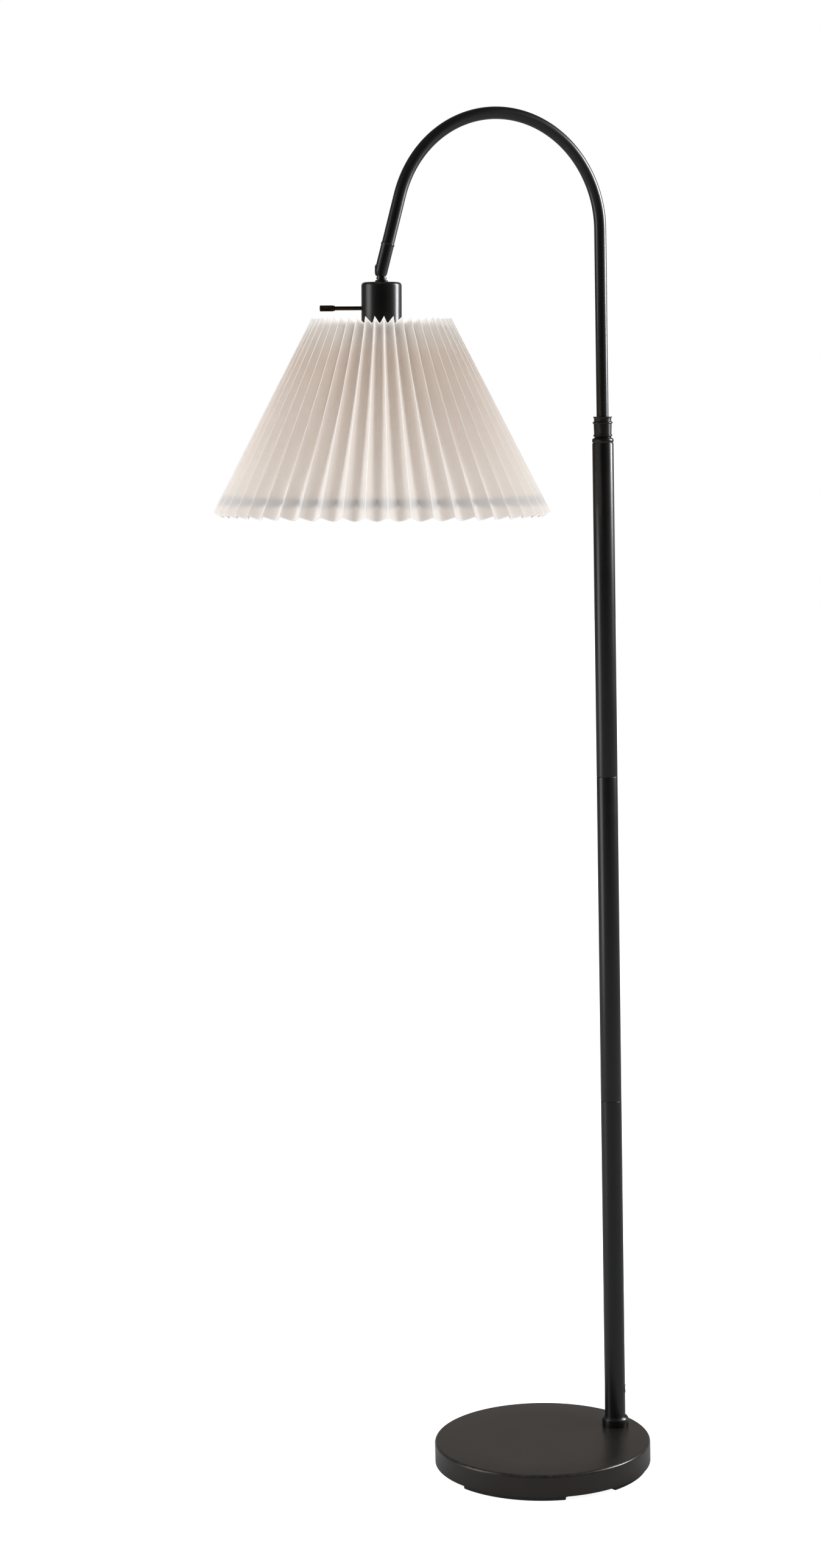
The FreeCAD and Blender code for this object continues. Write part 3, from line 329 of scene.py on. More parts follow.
class EffectShelf:
    """Builds each shared effect once, and places it in the materials that ask for it."""

    SOCKETS: dict[Effect, tuple[dict[str, float], tuple[str, ...]]] = {
        Effect.GRAIN: ({"Grain Size": 0.6, "Cloud Size": 60.0}, ("Height", "Pits", "Clouds")),
        Effect.WEAR: ({"Edge": 0.0, "Amount": 0.5, "Patch Size": 9.0}, ("Mask",)),
        Effect.DUST: ({"Facing Up": 0.0, "Amount": 0.3}, ("Mask",)),
        Effect.WEAVE: ({"Thread Pitch": 0.5, "Slub": 0.5}, ("Height", "Slubs")),
        Effect.BRUSH: ({"Line Size": 0.25}, ("Height", "Streaks")),
    }

    def __init__(self) -> None:
        """Starts with no effect built."""
        self.made: dict[Effect, bpy.types.NodeTree] = {}
        self.builders: dict[Effect, Callable[..., tuple[Wire, ...]]] = {
            Effect.GRAIN: self._grain,
            Effect.WEAR: self._wear,
            Effect.DUST: self._dust,
            Effect.WEAVE: self._weave,
            Effect.BRUSH: self._brush,
        }

    def place(
        self, bench: Bench, effect: Effect, place: Wire, **inputs: object
    ) -> dict[str, Wire]:
        """Places an effect in a material.

        Args:
            bench: The material's bench.
            effect: The effect wanted.
            place: Where on the piece the effect is worked out.
            inputs: Its other inputs by name, with spaces as underscores.

        Returns:
            The effect's masks and heights by name.
        """
        if effect not in self.made:
            self.made[effect] = self._group(effect)
        node = bench.node("ShaderNodeGroup", node_tree=self.made[effect])
        for name, value in {"Place": place, **inputs}.items():
            bench.feed(node.inputs[name.replace("_", " ")], value)
        return {socket.name: Wire(bench, socket) for socket in node.outputs}

    def _group(self, effect: Effect) -> bpy.types.NodeTree:
        """Builds an effect's group: its inputs, its working and its outputs.

        Args:
            effect: The effect.

        Returns:
            The group's tree.
        """
        tree = bpy.data.node_groups.new(effect.value, "ShaderNodeTree")
        inputs, outputs = self.SOCKETS[effect]
        add = tree.interface.new_socket
        add(name="Place", in_out="INPUT", socket_type="NodeSocketVector")
        for name, value in inputs.items():
            socket = add(name=name, in_out="INPUT", socket_type="NodeSocketFloat")
            socket.default_value = value
        for name in outputs:
            add(name=name, in_out="OUTPUT", socket_type="NodeSocketFloat")
        bench = Bench(tree)
        source = bench.node("NodeGroupInput")
        given = [Wire(bench, source.outputs[name]) for name in ("Place", *inputs)]
        sink = bench.node("NodeGroupOutput")
        for name, made in zip(outputs, self.builders[effect](bench, *given)):
            bench.feed(sink.inputs[name], made)
        return tree

    @staticmethod
    def _grain(bench: Bench, place: Wire, grain: Wire, cloud: Wire) -> tuple[Wire, ...]:
        """Sprayed coat: a fine pebbled height, its pits, and broad clouds of tone.

        Args:
            bench: The bench that the nodes go on.
            place: Where on the piece the effect is worked out.
            grain: The pebbles' size.
            cloud: The clouds' size.

        Returns:
            The group's outputs, in order.
        """
        fine = grain.per_metre()
        pebbles = bench.noise(place, fine, 3.0, 0.55)
        swells = bench.noise(place, fine * 0.21, 1.0, 0.4)
        clouds = bench.noise(place, cloud.per_metre(), 4.0, 0.6)
        height = pebbles * 0.6 + swells * 0.4
        return height, bench.ramp(pebbles, 0.62, 0.74), bench.ramp(clouds, 0.32, 0.68)

    @staticmethod
    def _wear(bench: Bench, place: Wire, edge: Wire, amount: Wire, patch: Wire) -> tuple[Wire]:
        """Rubbed edges: where the edge mark is, broken up by noise."""
        patches = bench.noise(place, patch.per_metre(), 5.0, 0.65)
        return ((edge * bench.ramp(patches, 0.36, 0.66) * amount).held(),)

    @staticmethod
    def _dust(bench: Bench, place: Wire, facing_up: Wire, amount: Wire) -> tuple[Wire]:
        """Dust that settles on what faces up, in drifts and specks.

        Args:
            bench: The bench that the nodes go on.
            place: Where on the piece the effect is worked out.
            facing_up: How far the face looks up.
            amount: How strong the effect is.

        Returns:
            The group's output.
        """
        specks = bench.noise(place, 900.0, 2.0, 0.7)
        drifts = bench.noise(place, 22.0, 4.0, 0.6)
        up = bench.ramp(facing_up, 0.55, 1.0)
        lying = bench.ramp(drifts, 0.35, 0.75) * 0.7 + bench.ramp(specks, 0.66, 0.74) * 0.6
        return ((up * lying * amount).held(),)

    @staticmethod
    def _weave(bench: Bench, place: Wire, pitch: Wire, slub: Wire) -> tuple[Wire, ...]:
        """Plain weave on a cloth's own flat measure: the threads' height and their slubs.

        Args:
            bench: The bench that the nodes go on.
            place: Where on the piece the effect is worked out.
            pitch: The threads' pitch.
            slub: How much the slubs stand out.

        Returns:
            The group's outputs, in order.
        """
        across, along, _ = bench.parts(place)
        count = pitch.per_metre() * math.pi
        wander = bench.noise(place, 260.0, 2.0) * 1.6
        warp = (across * count + wander).sine()
        weft = (along * count + wander).sine()
        crowns = (warp.size() + weft.size()) * 0.5
        warp_slub = bench.noise(bench.vector(across * 1500.0, along * 34.0, 0.0), 1.0, 2.0)
        weft_slub = bench.noise(bench.vector(across * 34.0, along * 1500.0, 7.0), 1.0, 2.0)
        slubs = bench.ramp(warp_slub + weft_slub, 0.78, 1.22)
        return crowns * 0.45 + warp * weft * 0.25 + (slubs - 0.5) * slub, slubs

    @staticmethod
    def _brush(bench: Bench, place: Wire, line: Wire) -> tuple[Wire, ...]:
        """Fine turning or drawing lines that run across a given axis.

        Args:
            bench: The bench that the nodes go on.
            place: Where on the piece the effect is worked out.
            line: The lines' size.

        Returns:
            The group's outputs, in order.
        """
        x, y, z = bench.parts(place)
        lines = bench.noise(bench.vector(x * 0.04, y * 0.04, z), line.per_metre(), 3.0, 0.6)
        patches = bench.noise(place, 160.0, 3.0, 0.6)
        return lines, bench.ramp(lines * 0.7 + patches * 0.3, 0.36, 0.66)


SHELF = EffectShelf()


# ---------------------------------------------------------------- finishes
@dataclass(frozen=True)
class Finish:
    """A finish that makes its material once and hands it out again after that."""

    name: str
    colour: Colour

    def material(self) -> bpy.types.Material:
        """The finish's material, made the first time it is asked for.

        Returns:
            The material.
        """
        label = f"finish_{self.name}"
        found = bpy.data.materials.get(label)
        if found is not None:
            return found
        made = bpy.data.materials.new(label)
        bench = Bench.cleared(made)
        out = bench.node("ShaderNodeOutputMaterial")
        bench.feed(out.inputs["Surface"], self.surface(bench))
        return made

    def surface(self, bench: Bench) -> Wire:
        """The finish's shader, which each kind of finish builds in its own way."""
        raise NotImplementedError

    def effect(self, bench: Bench, effect: Effect, **inputs: object) -> dict[str, Wire]:
        """A shared effect at the place on the piece, which turns and moves with it."""
        place = bench.use("ShaderNodeTexCoord", "Object")
        return SHELF.place(bench, effect, place, **inputs)

    def worn(self, bench: Bench, amount: float, patch_mm: float = 9.0) -> Wire:
        """Where the marked outer edges are rubbed."""
        marks = {"Edge": bench.carried("edge"), "Amount": amount, "Patch_Size": patch_mm}
        return self.effect(bench, Effect.WEAR, **marks)["Mask"]

    def dusty(self, bench: Bench, amount: float) -> Wire:
        """Where dust lies, by how far a face looks up in the piece's own axes."""
        up = bench.parts(bench.use("ShaderNodeTexCoord", "Normal"))[2]
        return self.effect(bench, Effect.DUST, Facing_Up=up, Amount=amount)["Mask"]

    def bump(self, bench: Bench, height: Wire, depth_mm: float) -> Wire:
        """A Normal that follows a height."""
        return bench.use("ShaderNodeBump", Height=height, Distance=depth_mm * MM, Strength=1.0)


@dataclass(frozen=True)
class SprayedCoat(Finish):
    """Sprayed and baked coat on steel, with fine pebbles, worn edges and a little dust."""

    cloud_colour: Colour
    worn_colour: Colour
    roughness: float
    grain_mm: float
    grain_depth_mm: float
    wear: float = 0.5
    dust: float = 0.2
    coat: float = 0.0
    coat_roughness: float = 0.2
    mirror_tint: Colour = WHITE

    def surface(self, bench: Bench) -> Wire:
        """The coat's shader.

        Args:
            bench: The bench that the nodes go on.

        Returns:
            The shader.
        """
        grain = self.effect(bench, Effect.GRAIN, Grain_Size=self.grain_mm)
        clouds, pits = grain["Clouds"], grain["Pits"]
        worn, dusty = self.worn(bench, self.wear), self.dusty(bench, self.dust)
        tone = bench.blend(clouds, self.colour, self.cloud_colour)
        tone = bench.blend(worn, tone, self.worn_colour)
        tone = bench.blend(dusty * 0.35, tone, DUST_ON_BLACK)
        rough = (clouds - 0.5) * 0.03 + self.roughness + pits * 0.03 - worn * 0.10 + dusty * 0.25
        return bench.principled(
            Base_Color=tone,
            Roughness=rough.held(),
            Specular_Tint=self.mirror_tint,
            Coat_Weight=self.coat,
            Coat_Roughness=self.coat_roughness,
            Normal=self.bump(bench, grain["Height"], self.grain_depth_mm),
        )


@dataclass(frozen=True)
class MetalFinish(Finish):
    """Bare or plated metal with fine lines, darker where it has dulled."""

    dull_colour: Colour
    roughness: float
    line_mm: float = 0.25
    line_depth_mm: float = 0.01
    wear: float = 0.4

    def surface(self, bench: Bench) -> Wire:
        """The metal's shader.

        Args:
            bench: The bench that the nodes go on.

        Returns:
            The shader.
        """
        lines = self.effect(bench, Effect.BRUSH, Line_Size=self.line_mm)
        streaks, worn = lines["Streaks"], self.worn(bench, self.wear, 4.0)
        rubbed_colour = tuple(min(1.0, part * 1.5) for part in self.colour)
        tone = bench.blend(worn, bench.blend(streaks, self.dull_colour, self.colour), rubbed_colour)
        rough = streaks * -0.1 + self.roughness + 0.05 - worn * 0.08
        return bench.principled(
            Base_Color=tone,
            Metallic=1.0,
            Roughness=rough.held(),
            Normal=self.bump(bench, lines["Height"], self.line_depth_mm),
        )


@dataclass(frozen=True)
class MouldedFinish(Finish):
    """Moulded plastic, nylon, fibre or rubber: a faint spark-etched skin and cloudy tone."""

    cloud_colour: Colour
    roughness: float
    grain_mm: float = 0.35
    grain_depth_mm: float = 0.02
    dust: float = 0.1
    soft: float = 0.0

    def surface(self, bench: Bench) -> Wire:
        """The plastic's shader.

        Args:
            bench: The bench that the nodes go on.

        Returns:
            The shader.
        """
        grain = self.effect(bench, Effect.GRAIN, Grain_Size=self.grain_mm, Cloud_Size=25.0)
        clouds = grain["Clouds"]
        dusty, worn = self.dusty(bench, self.dust), self.worn(bench, 0.5)
        tone = bench.blend(clouds, self.colour, self.cloud_colour)
        rough = (clouds - 0.5) * 0.08 + self.roughness + dusty * 0.2 - worn * 0.1
        return bench.principled(
            Base_Color=bench.blend(dusty * 0.5, tone, DUST_ON_MOULDED),
            Roughness=rough.held(),
            Subsurface_Weight=self.soft,
            Subsurface_Scale=2.0 * MM,
            Normal=self.bump(bench, grain["Height"], self.grain_depth_mm),
        )


@dataclass(frozen=True)
class LinenFinish(Finish):
    """White linen-look shade cloth on a thin backing: woven, soft, and lit through.

    The cloth's own flat measure runs round the shade and down it, in metres. The shadow that the
    wire ring behind its hem casts through the cloth is painted into its colour as a soft band,
    which droops with the folds. The creases get a painted highlight, and the top is painted paler.
    """

    slub_colour: Colour
    through_colour: Colour
    lit_through: float
    thread_pitch_mm: float
    weave_depth_mm: float
    cloth_length_mm: float
    # the painted shadow band of the bottom ring: its height above the hem, its darkness, its droop
    band_mm: float
    ring_shadow_tone: float
    ring_shadow_droop_mm: float = 9.0
    # how far the painted crease highlight whitens the cloth
    crease_highlight_tone: float = 0.9
    hem_mm: float = 1.2

    # white of the painted highlights on the creases and of the painted paler top
    HIGHLIGHT_WHITE = (0.97, 0.97, 0.965)
    SOIL = (0.66, 0.62, 0.57)
    # colours of the painted ring shadow, in reflected and in lit-through light
    RING_SHADOW = (0.48, 0.50, 0.53)
    RING_SHADOW_THROUGH = (0.30, 0.32, 0.35)

    def surface(self, bench: Bench) -> Wire:
        """The cloth's shader: threads that scatter light, mixed with light from behind, with a
        painted ring shadow, painted crease highlights and a painted paler top.

        Args:
            bench: The bench that the nodes go on.

        Returns:
            The shader.
        """
        flat = bench.use("ShaderNodeUVMap", settings={"uv_map": "UVMap"})
        weave = SHELF.place(bench, Effect.WEAVE, flat, Thread_Pitch=self.thread_pitch_mm)
        slubs = weave["Slubs"]
        down = bench.parts(flat)[1] / (self.cloth_length_mm * MM)
        fold = bench.carried("fold")
        hem = self.hem_mm / self.cloth_length_mm
        cut_edge = bench.ramp((down - 0.5).size(), 0.5 - hem, 0.5 - hem * 0.4)
        # painted highlight along the outer creases, plus whiter cut edges at the hems
        crease_highlight_and_cut_edge = (bench.ramp(fold, 0.85, 0.97) + cut_edge).held() * self.crease_highlight_tone
        soiled = bench.noise(bench.use("ShaderNodeTexCoord", "Object"), 9.0, 3.0, 0.55)
        # painted shadow of the bottom wire ring: a band above the hem, darkest in the troughs,
        # fainter and lower towards the creases
        above_hem = down.minus_from(1.0) * self.cloth_length_mm
        off_ring = (above_hem - (fold * -self.ring_shadow_droop_mm + self.band_mm)).size()
        shade = (fold * 0.6).minus_from(1.0) + bench.ramp(fold, 0.14, 0.0) * 0.5
        behind = bench.ramp(off_ring / (fold * 4.0 + 3.4), 1.7, 0.2) * shade * self.ring_shadow_tone
        tone = bench.blend(slubs, self.colour, self.slub_colour)
        tone = bench.blend(bench.ramp(soiled, 0.45, 0.8) * 0.10, tone, self.SOIL)
        tone = bench.blend(behind, tone, self.RING_SHADOW)
        through = bench.blend(slubs * 0.5, self.through_colour, self.slub_colour)
        through = bench.blend(behind, through, self.RING_SHADOW_THROUGH)
        # painted light: the top of the cloth painted paler, and the creases painted whiter
        for painted_light in (bench.ramp(down, 0.24, 0.0) * 0.6, crease_highlight_and_cut_edge):
            tone = bench.blend(painted_light, tone, self.HIGHLIGHT_WHITE)
            through = bench.blend(painted_light, through, self.HIGHLIGHT_WHITE)
        normal = self.bump(bench, weave["Height"], self.weave_depth_mm)
        front = bench.principled(
            Base_Color=tone,
            Roughness=0.8,
            Specular_IOR_Level=0.3,
            Sheen_Weight=0.3,
            Sheen_Roughness=0.4,
            Normal=normal,
        )
        back = bench.use("ShaderNodeBsdfTranslucent", Color=through, Normal=normal)
        places = {0: down * -0.26 + self.lit_through, 1: front, 2: back}
        return bench.numbered("ShaderNodeMixShader", 0, {}, places)


@dataclass(frozen=True)
class OpalFinish(Finish):
    """Opal plastic or glass of a bulb: smooth, milky, with a soft depth."""

    roughness: float

    def surface(self, bench: Bench) -> Wire:
        """The opal's shader.

        Args:
            bench: The bench that the nodes go on.

        Returns:
            The shader.
        """
        grain = self.effect(bench, Effect.GRAIN, Grain_Size=1.4, Cloud_Size=30.0)
        clouds = grain["Clouds"]
        deeper = tuple(part * 0.93 for part in self.colour)
        return bench.principled(
            Base_Color=bench.blend(clouds, self.colour, deeper),
            Roughness=((clouds - 0.5) * 0.06 + self.roughness).held(),
            Subsurface_Weight=0.6,
            Subsurface_Scale=3.0 * MM,
            Coat_Weight=0.25,
            Coat_Roughness=0.25,
            Normal=self.bump(bench, grain["Height"], 0.004),
        )


BLACK_BASE = SprayedCoat(
    "satin_black_base", (0.0085, 0.0070, 0.0062), (0.0105, 0.0088, 0.0078), (0.05, 0.046, 0.042),
    roughness=0.30, grain_mm=0.7, grain_depth_mm=0.006, wear=0.35, dust=0.10,
    mirror_tint=(1.0, 0.90, 0.82),
)
BLACK_POLE = SprayedCoat(
    "satin_black_pole", (0.0022, 0.0019, 0.0019), (0.0030, 0.0027, 0.0026), (0.03, 0.028, 0.026),
    roughness=0.33, grain_mm=0.9, grain_depth_mm=0.0012, wear=0.5, dust=0.05, coat=0.04,
    coat_roughness=0.22,
)
BLACK_CAP = SprayedCoat(
    "satin_black_cap", (0.0020, 0.0017, 0.0016), (0.0027, 0.0024, 0.0022), (0.03, 0.028, 0.026),
    roughness=0.31, grain_mm=0.6, grain_depth_mm=0.003, wear=0.4, dust=0.1,
)
DARK_BRONZE = MetalFinish(
    "dark_bronze_knob", (0.060, 0.038, 0.026), (0.028, 0.019, 0.014), roughness=0.36, line_mm=0.2,
    line_depth_mm=0.012, wear=0.7,
)
ZINC = MetalFinish("zinc_hardware", (0.62, 0.63, 0.65), (0.40, 0.41, 0.42), roughness=0.38)
BRASS = MetalFinish("contact_brass", (0.78, 0.57, 0.26), (0.52, 0.37, 0.17), roughness=0.3)
NICKEL = MetalFinish("bulb_nickel", (0.70, 0.69, 0.66), (0.50, 0.49, 0.46), roughness=0.28)
DARK_SCREW = MetalFinish("dark_screw", (0.09, 0.085, 0.08), (0.04, 0.038, 0.036), roughness=0.4)
CAST_WEIGHT = MouldedFinish(
    "cast_weight", (0.16, 0.155, 0.15), (0.24, 0.23, 0.22), 0.9, grain_mm=2.4, grain_depth_mm=0.25
)
FLOOR_PLATE = MouldedFinish(
    "floor_plate", (0.020, 0.019, 0.018), (0.030, 0.028, 0.027), 0.62, grain_mm=1.1,
    grain_depth_mm=0.05,
)
RUBBER = MouldedFinish(
    "foot_rubber", (0.014, 0.0135, 0.013), (0.022, 0.021, 0.020), 0.82, grain_mm=0.8,
    grain_depth_mm=0.06, dust=0.3,
)
BLACK_PLASTIC = MouldedFinish("black_plastic", (0.016, 0.0155, 0.015), (0.022, 0.021, 0.02), 0.5)
LEAD_SHEATH = MouldedFinish("lead_sheath", (0.02, 0.019, 0.018), (0.03, 0.029, 0.028), 0.55)
NYLON = MouldedFinish("nylon_sleeve", (0.70, 0.68, 0.62), (0.62, 0.60, 0.55), 0.5, soft=0.2)
FIBRE = MouldedFinish("fibre_washer", (0.20, 0.07, 0.04), (0.27, 0.10, 0.06), 0.8, grain_mm=0.5)
HOLDER_PLASTIC = MouldedFinish(
    "holder_plastic", (0.020, 0.019, 0.0185), (0.028, 0.027, 0.026), 0.44, grain_mm=0.4
)
NUT_PLASTIC = MouldedFinish("ring_nut_plastic", (0.020, 0.019, 0.0185), (0.030, 0.029, 0.028), 0.48)
INSULATOR = MouldedFinish("bulb_insulator", (0.012, 0.012, 0.014), (0.03, 0.03, 0.034), 0.2)
BULB_PLASTIC = MouldedFinish("bulb_plastic", (0.80, 0.79, 0.76), (0.74, 0.73, 0.70), 0.42, soft=0.2)
WHITE_WIRE = SprayedCoat(
    "white_wire", (0.72, 0.71, 0.68), (0.66, 0.65, 0.62), (0.42, 0.41, 0.40), roughness=0.42,
    grain_mm=0.8, grain_depth_mm=0.03, wear=0.5, dust=0.3,
)
RING_TAPE = MouldedFinish(
    "ring_tape", (0.78, 0.77, 0.74), (0.70, 0.69, 0.66), 0.8, grain_mm=0.5, grain_depth_mm=0.05
)
THREAD = MouldedFinish("tack_thread", (0.76, 0.74, 0.70), (0.66, 0.64, 0.60), 0.85, grain_mm=0.2)
BULB_OPAL = OpalFinish("bulb_opal", (0.86, 0.86, 0.84), 0.3)
LINEN = LinenFinish(
    "shade_linen", (0.90, 0.852, 0.805), (0.87, 0.812, 0.762), (0.93, 0.87, 0.818),
    lit_through=0.62, thread_pitch_mm=0.52, weave_depth_mm=0.06, cloth_length_mm=249.0,
    # height above the hem and darkness of the painted ring shadow
    band_mm=24.0, ring_shadow_tone=0.5,
)


# ---------------------------------------------------------------- shared making
@dataclass(frozen=True)
class Place:
    """Where a piece that is drawn about its own axis goes: a pivot in millimetres and a lean."""

    origin: Vector = field(default_factory=lambda: Vector((0.0, 0.0, 0.0)))
    lean_deg: float = 0.0

    def matrix(self) -> Matrix:
        """The place as a matrix in metres, for a mesh drawn in millimetres."""
        turn = Matrix.Rotation(math.radians(self.lean_deg), 4, "Y")
        return Matrix.Scale(MM, 4) @ Matrix.Translation(self.origin) @ turn


def rounded(corners: Sequence[Corner], steps: int = 4) -> list[Corner]:
    """Rounds an outline's corners with true arcs.

    Args:
        corners: Closed outline of (radius, height, rounding) in millimetres.
        steps: How many stretches each rounding gets.

    Returns:
        The points, each with an edge mark in third place: up to 1 on an outward rounding, else 0.
    """
    area = 0.0
    for (x0, y0, _), (x1, y1, _) in zip(corners, [*corners[1:], corners[0]]):
        area += x0 * y1 - x1 * y0
    loop = list(corners) if area > 0 else list(reversed(corners))
    made: list[Corner] = []
    for place, (x, y, rounding) in enumerate(loop):
        here = Vector((x, y))
        back = Vector(loop[place - 1][:2]) - here
        ahead = Vector(loop[(place + 1) % len(loop)][:2]) - here
        if rounding <= 0.0 or back.length < 1e-9 or ahead.length < 1e-9:
            made.append((x, y, 0.0))
            continue
        outward = 1.0 if back.x * ahead.y - back.y * ahead.x < 0 else 0.0
        half = back.angle(ahead) / 2.0
        run = min(rounding / math.tan(half), 0.48 * back.length, 0.48 * ahead.length)
        radius = run * math.tan(half)
        inward = (back.normalized() + ahead.normalized()).normalized()
        centre = here + inward * (radius / math.sin(half))
        first = here + back.normalized() * run - centre
        last = here + ahead.normalized() * run - centre
        for step in range(steps + 1):
            spoke = first.slerp(last, step / steps).normalized() * radius
            mark = outward * math.sin(math.pi * step / steps)
            made.append((centre.x + spoke.x, centre.y + spoke.y, mark))
    return made


def beaded(
    start: tuple[float, float], end: tuple[float, float], peak: float, steps: int = 8
) -> list[Corner]:
    """The points between two corners of an outline, swelling out (or in) to a peak radius.

    Args:
        start: Where the bead starts, (radius, height).
        end: Where it ends.
        peak: The radius at its middle.
        steps: How many stretches it has.

    Returns:
        Outline corners with no rounding of their own.
    """
    made: list[Corner] = []
    for step in range(steps + 1):
        share = step / steps
        swell = (1.0 - (2.0 * share - 1.0) ** 2) ** 0.7
        middle = (start[0] + end[0]) / 2.0
        radius = start[0] + (end[0] - start[0]) * share + (peak - middle) * swell
        made.append((radius, start[1] + (end[1] - start[1]) * share, 0.0))
    return made


def linked(name: str, data: bpy.types.ID) -> bpy.types.Object:
    """A new object in the scene that holds a mesh, light or camera.

    Args:
        name: The object's name.
        data: What it holds.

    Returns:
        The object.
    """
    made = bpy.data.objects.new(name, data)
    bpy.context.scene.collection.objects.link(made)
    return made


def mesh_object(
    name: str, mesh: bpy.types.Mesh, finish: Finish, smooth_deg: float = SMOOTH_DEG
) -> bpy.types.Object:
    """Links a finished mesh as an object at the origin.

    Args:
        name: The piece's name.
        mesh: Its mesh, in metres, in its place.
        finish: Its finish.
        smooth_deg: The angle above which an edge shows as sharp.

    Returns:
        The object.
    """
    mesh.name = name
    mesh.materials.clear()
    mesh.materials.append(finish.material())
    mesh.shade_smooth()
    mesh.set_sharp_from_angle(angle=math.radians(smooth_deg))
    return linked(name, mesh)


def turned_mesh(
    outline: Sequence[Corner], segments: int, place: Place | None = None
) -> bpy.types.Mesh:
    """A closed turned mesh about the local Z axis, with its edge marks as a point attribute.

    Args:
        outline: (radius, height, edge mark) points, anticlockwise, in millimetres.
        segments: How many steps go round.
        place: Where the piece goes, or None for a mesh that stays in millimetres.

    Returns:
        The mesh, in metres if it has a place.
    """
    vertices: list[Vector] = []
    marks: list[float] = []
    rings: list[list[int]] = []
    for radius, height, mark in outline:
        count = 1 if radius < 1e-6 else segments
        rings.append(list(range(len(vertices), len(vertices) + count)))
        for step in range(count):
            angle = FULL_TURN * step / segments
            vertices.append(Vector((radius * math.cos(angle), radius * math.sin(angle), height)))
            marks.append(mark)
    faces: list[list[int]] = []
    for low, high in zip(rings, [*rings[1:], rings[0]]):
        for step in range(segments):
            after = (step + 1) % segments
            if len(low) > 1 and len(high) > 1:
                faces.append([low[step], low[after], high[after], high[step]])
            elif len(low) > 1:
                faces.append([low[step], low[after], high[0]])
            elif len(high) > 1:
                faces.append([low[0], high[after], high[step]])
    mesh = bpy.data.meshes.new("turned")
    mesh.from_pydata(vertices, [], faces)
    mesh.attributes.new("edge", "FLOAT", "POINT").data.foreach_set("value", marks)
    if place is not None:
        mesh.transform(place.matrix())
    mesh.update()
    return mesh


def turned(
    name: str, finish: Finish, place: Place, segments: int, corners: Sequence[Corner],
    steps: int = 4,
) -> bpy.types.Object:
    """A turned piece, from the corners of its outline.

    Args:
        name: The piece's name.
        finish: Its finish.
        place: Where it goes.
        segments: How many steps go round.
        corners: Its outline's corners, as rounded takes them.
        steps: How many stretches each rounding gets.

    Returns:
        The piece.
    """
    return mesh_object(name, turned_mesh(rounded(corners, steps), segments, place), finish)


def evaluated_mesh(source: bpy.types.Object) -> bpy.types.Mesh:
    """The plain mesh that an object's modifiers make, after which the object is removed.

    Args:
        source: The object.

    Returns:
        The plain mesh.
    """
    bpy.context.view_layer.update()
    graph = bpy.context.evaluated_depsgraph_get()
    mesh = bpy.data.meshes.new_from_object(source.evaluated_get(graph), depsgraph=graph)
    source.modifiers.clear()
    bpy.data.objects.remove(source)
    return mesh


def modified(mesh: bpy.types.Mesh, kind: str, **settings: object) -> bpy.types.Mesh:
    """The mesh that one modifier makes of another.

    Args:
        mesh: The mesh that it works on.
        kind: The modifier's type.
        settings: Its properties by name.

    Returns:
        The made mesh.
    """
    held = linked("worked_on", mesh)
    modifier = held.modifiers.new("work", kind)
    for name, value in settings.items():
        setattr(modifier, name, value)
    return evaluated_mesh(held)


def drilled(
    mesh: bpy.types.Mesh, place: Place, height: float, turn_deg: float, reach: float,
    radius: float,
) -> bpy.types.Mesh:
    """Drills a round hole through one wall of a turned mesh, square to its axis.

    Args:
        mesh: The mesh, in metres.
        place: Its place.
        height: The hole's height on the mesh's axis, in millimetres.
        turn_deg: How far round from local X the hole is.
        reach: How far from the axis the drill ends.
        radius: The drill's radius.

    Returns:
        The drilled mesh.
    """
    angle = math.radians(turn_deg)
    middle = Vector((0.0, 0.0, height))
    start = place.matrix() @ middle
    end = place.matrix() @ (middle + Vector((math.cos(angle), math.sin(angle), 0.0)) * reach)
    bit_mesh = bpy.data.meshes.new("bit")
    work = bmesh.new()
    size = {"radius1": radius * MM, "radius2": radius * MM, "depth": (end - start).length}
    bmesh.ops.create_cone(work, cap_ends=True, segments=40, **size)
    work.to_mesh(bit_mesh)
    work.free()
    turn = (end - start).to_track_quat("Z", "Y").to_matrix().to_4x4()
    bit_mesh.transform(Matrix.Translation((start + end) / 2.0) @ turn)
    bit = linked("bit", bit_mesh)
    made = modified(mesh, "BOOLEAN", operation="DIFFERENCE", object=bit, solver="EXACT")
    bpy.data.objects.remove(bit)
    return made


def true_normals(mesh: bpy.types.Mesh, place: Place, radius: float) -> None:
    """Gives a drilled round wall its true smooth normals again.

    Args:
        mesh: The drilled mesh, already shaded, in metres.
        place: The wall's axis.
        radius: The radius of the wall that shows, in millimetres.
    """
    inverse = place.matrix().inverted()
    turn = place.matrix().to_3x3().normalized()
    normals = [Vector(corner.vector) for corner in mesh.corner_normals]
    for face in mesh.polygons:
        spots = [inverse @ mesh.vertices[index].co for index in face.vertices]
        if any(abs(math.hypot(spot.x, spot.y) - radius) > 0.01 for spot in spots):
            continue
        for loop, spot in zip(face.loop_indices, spots):
            normals[loop] = (turn @ Vector((spot.x, spot.y, 0.0))).normalized()
    mesh.normals_split_custom_set([tuple(normal) for normal in normals])


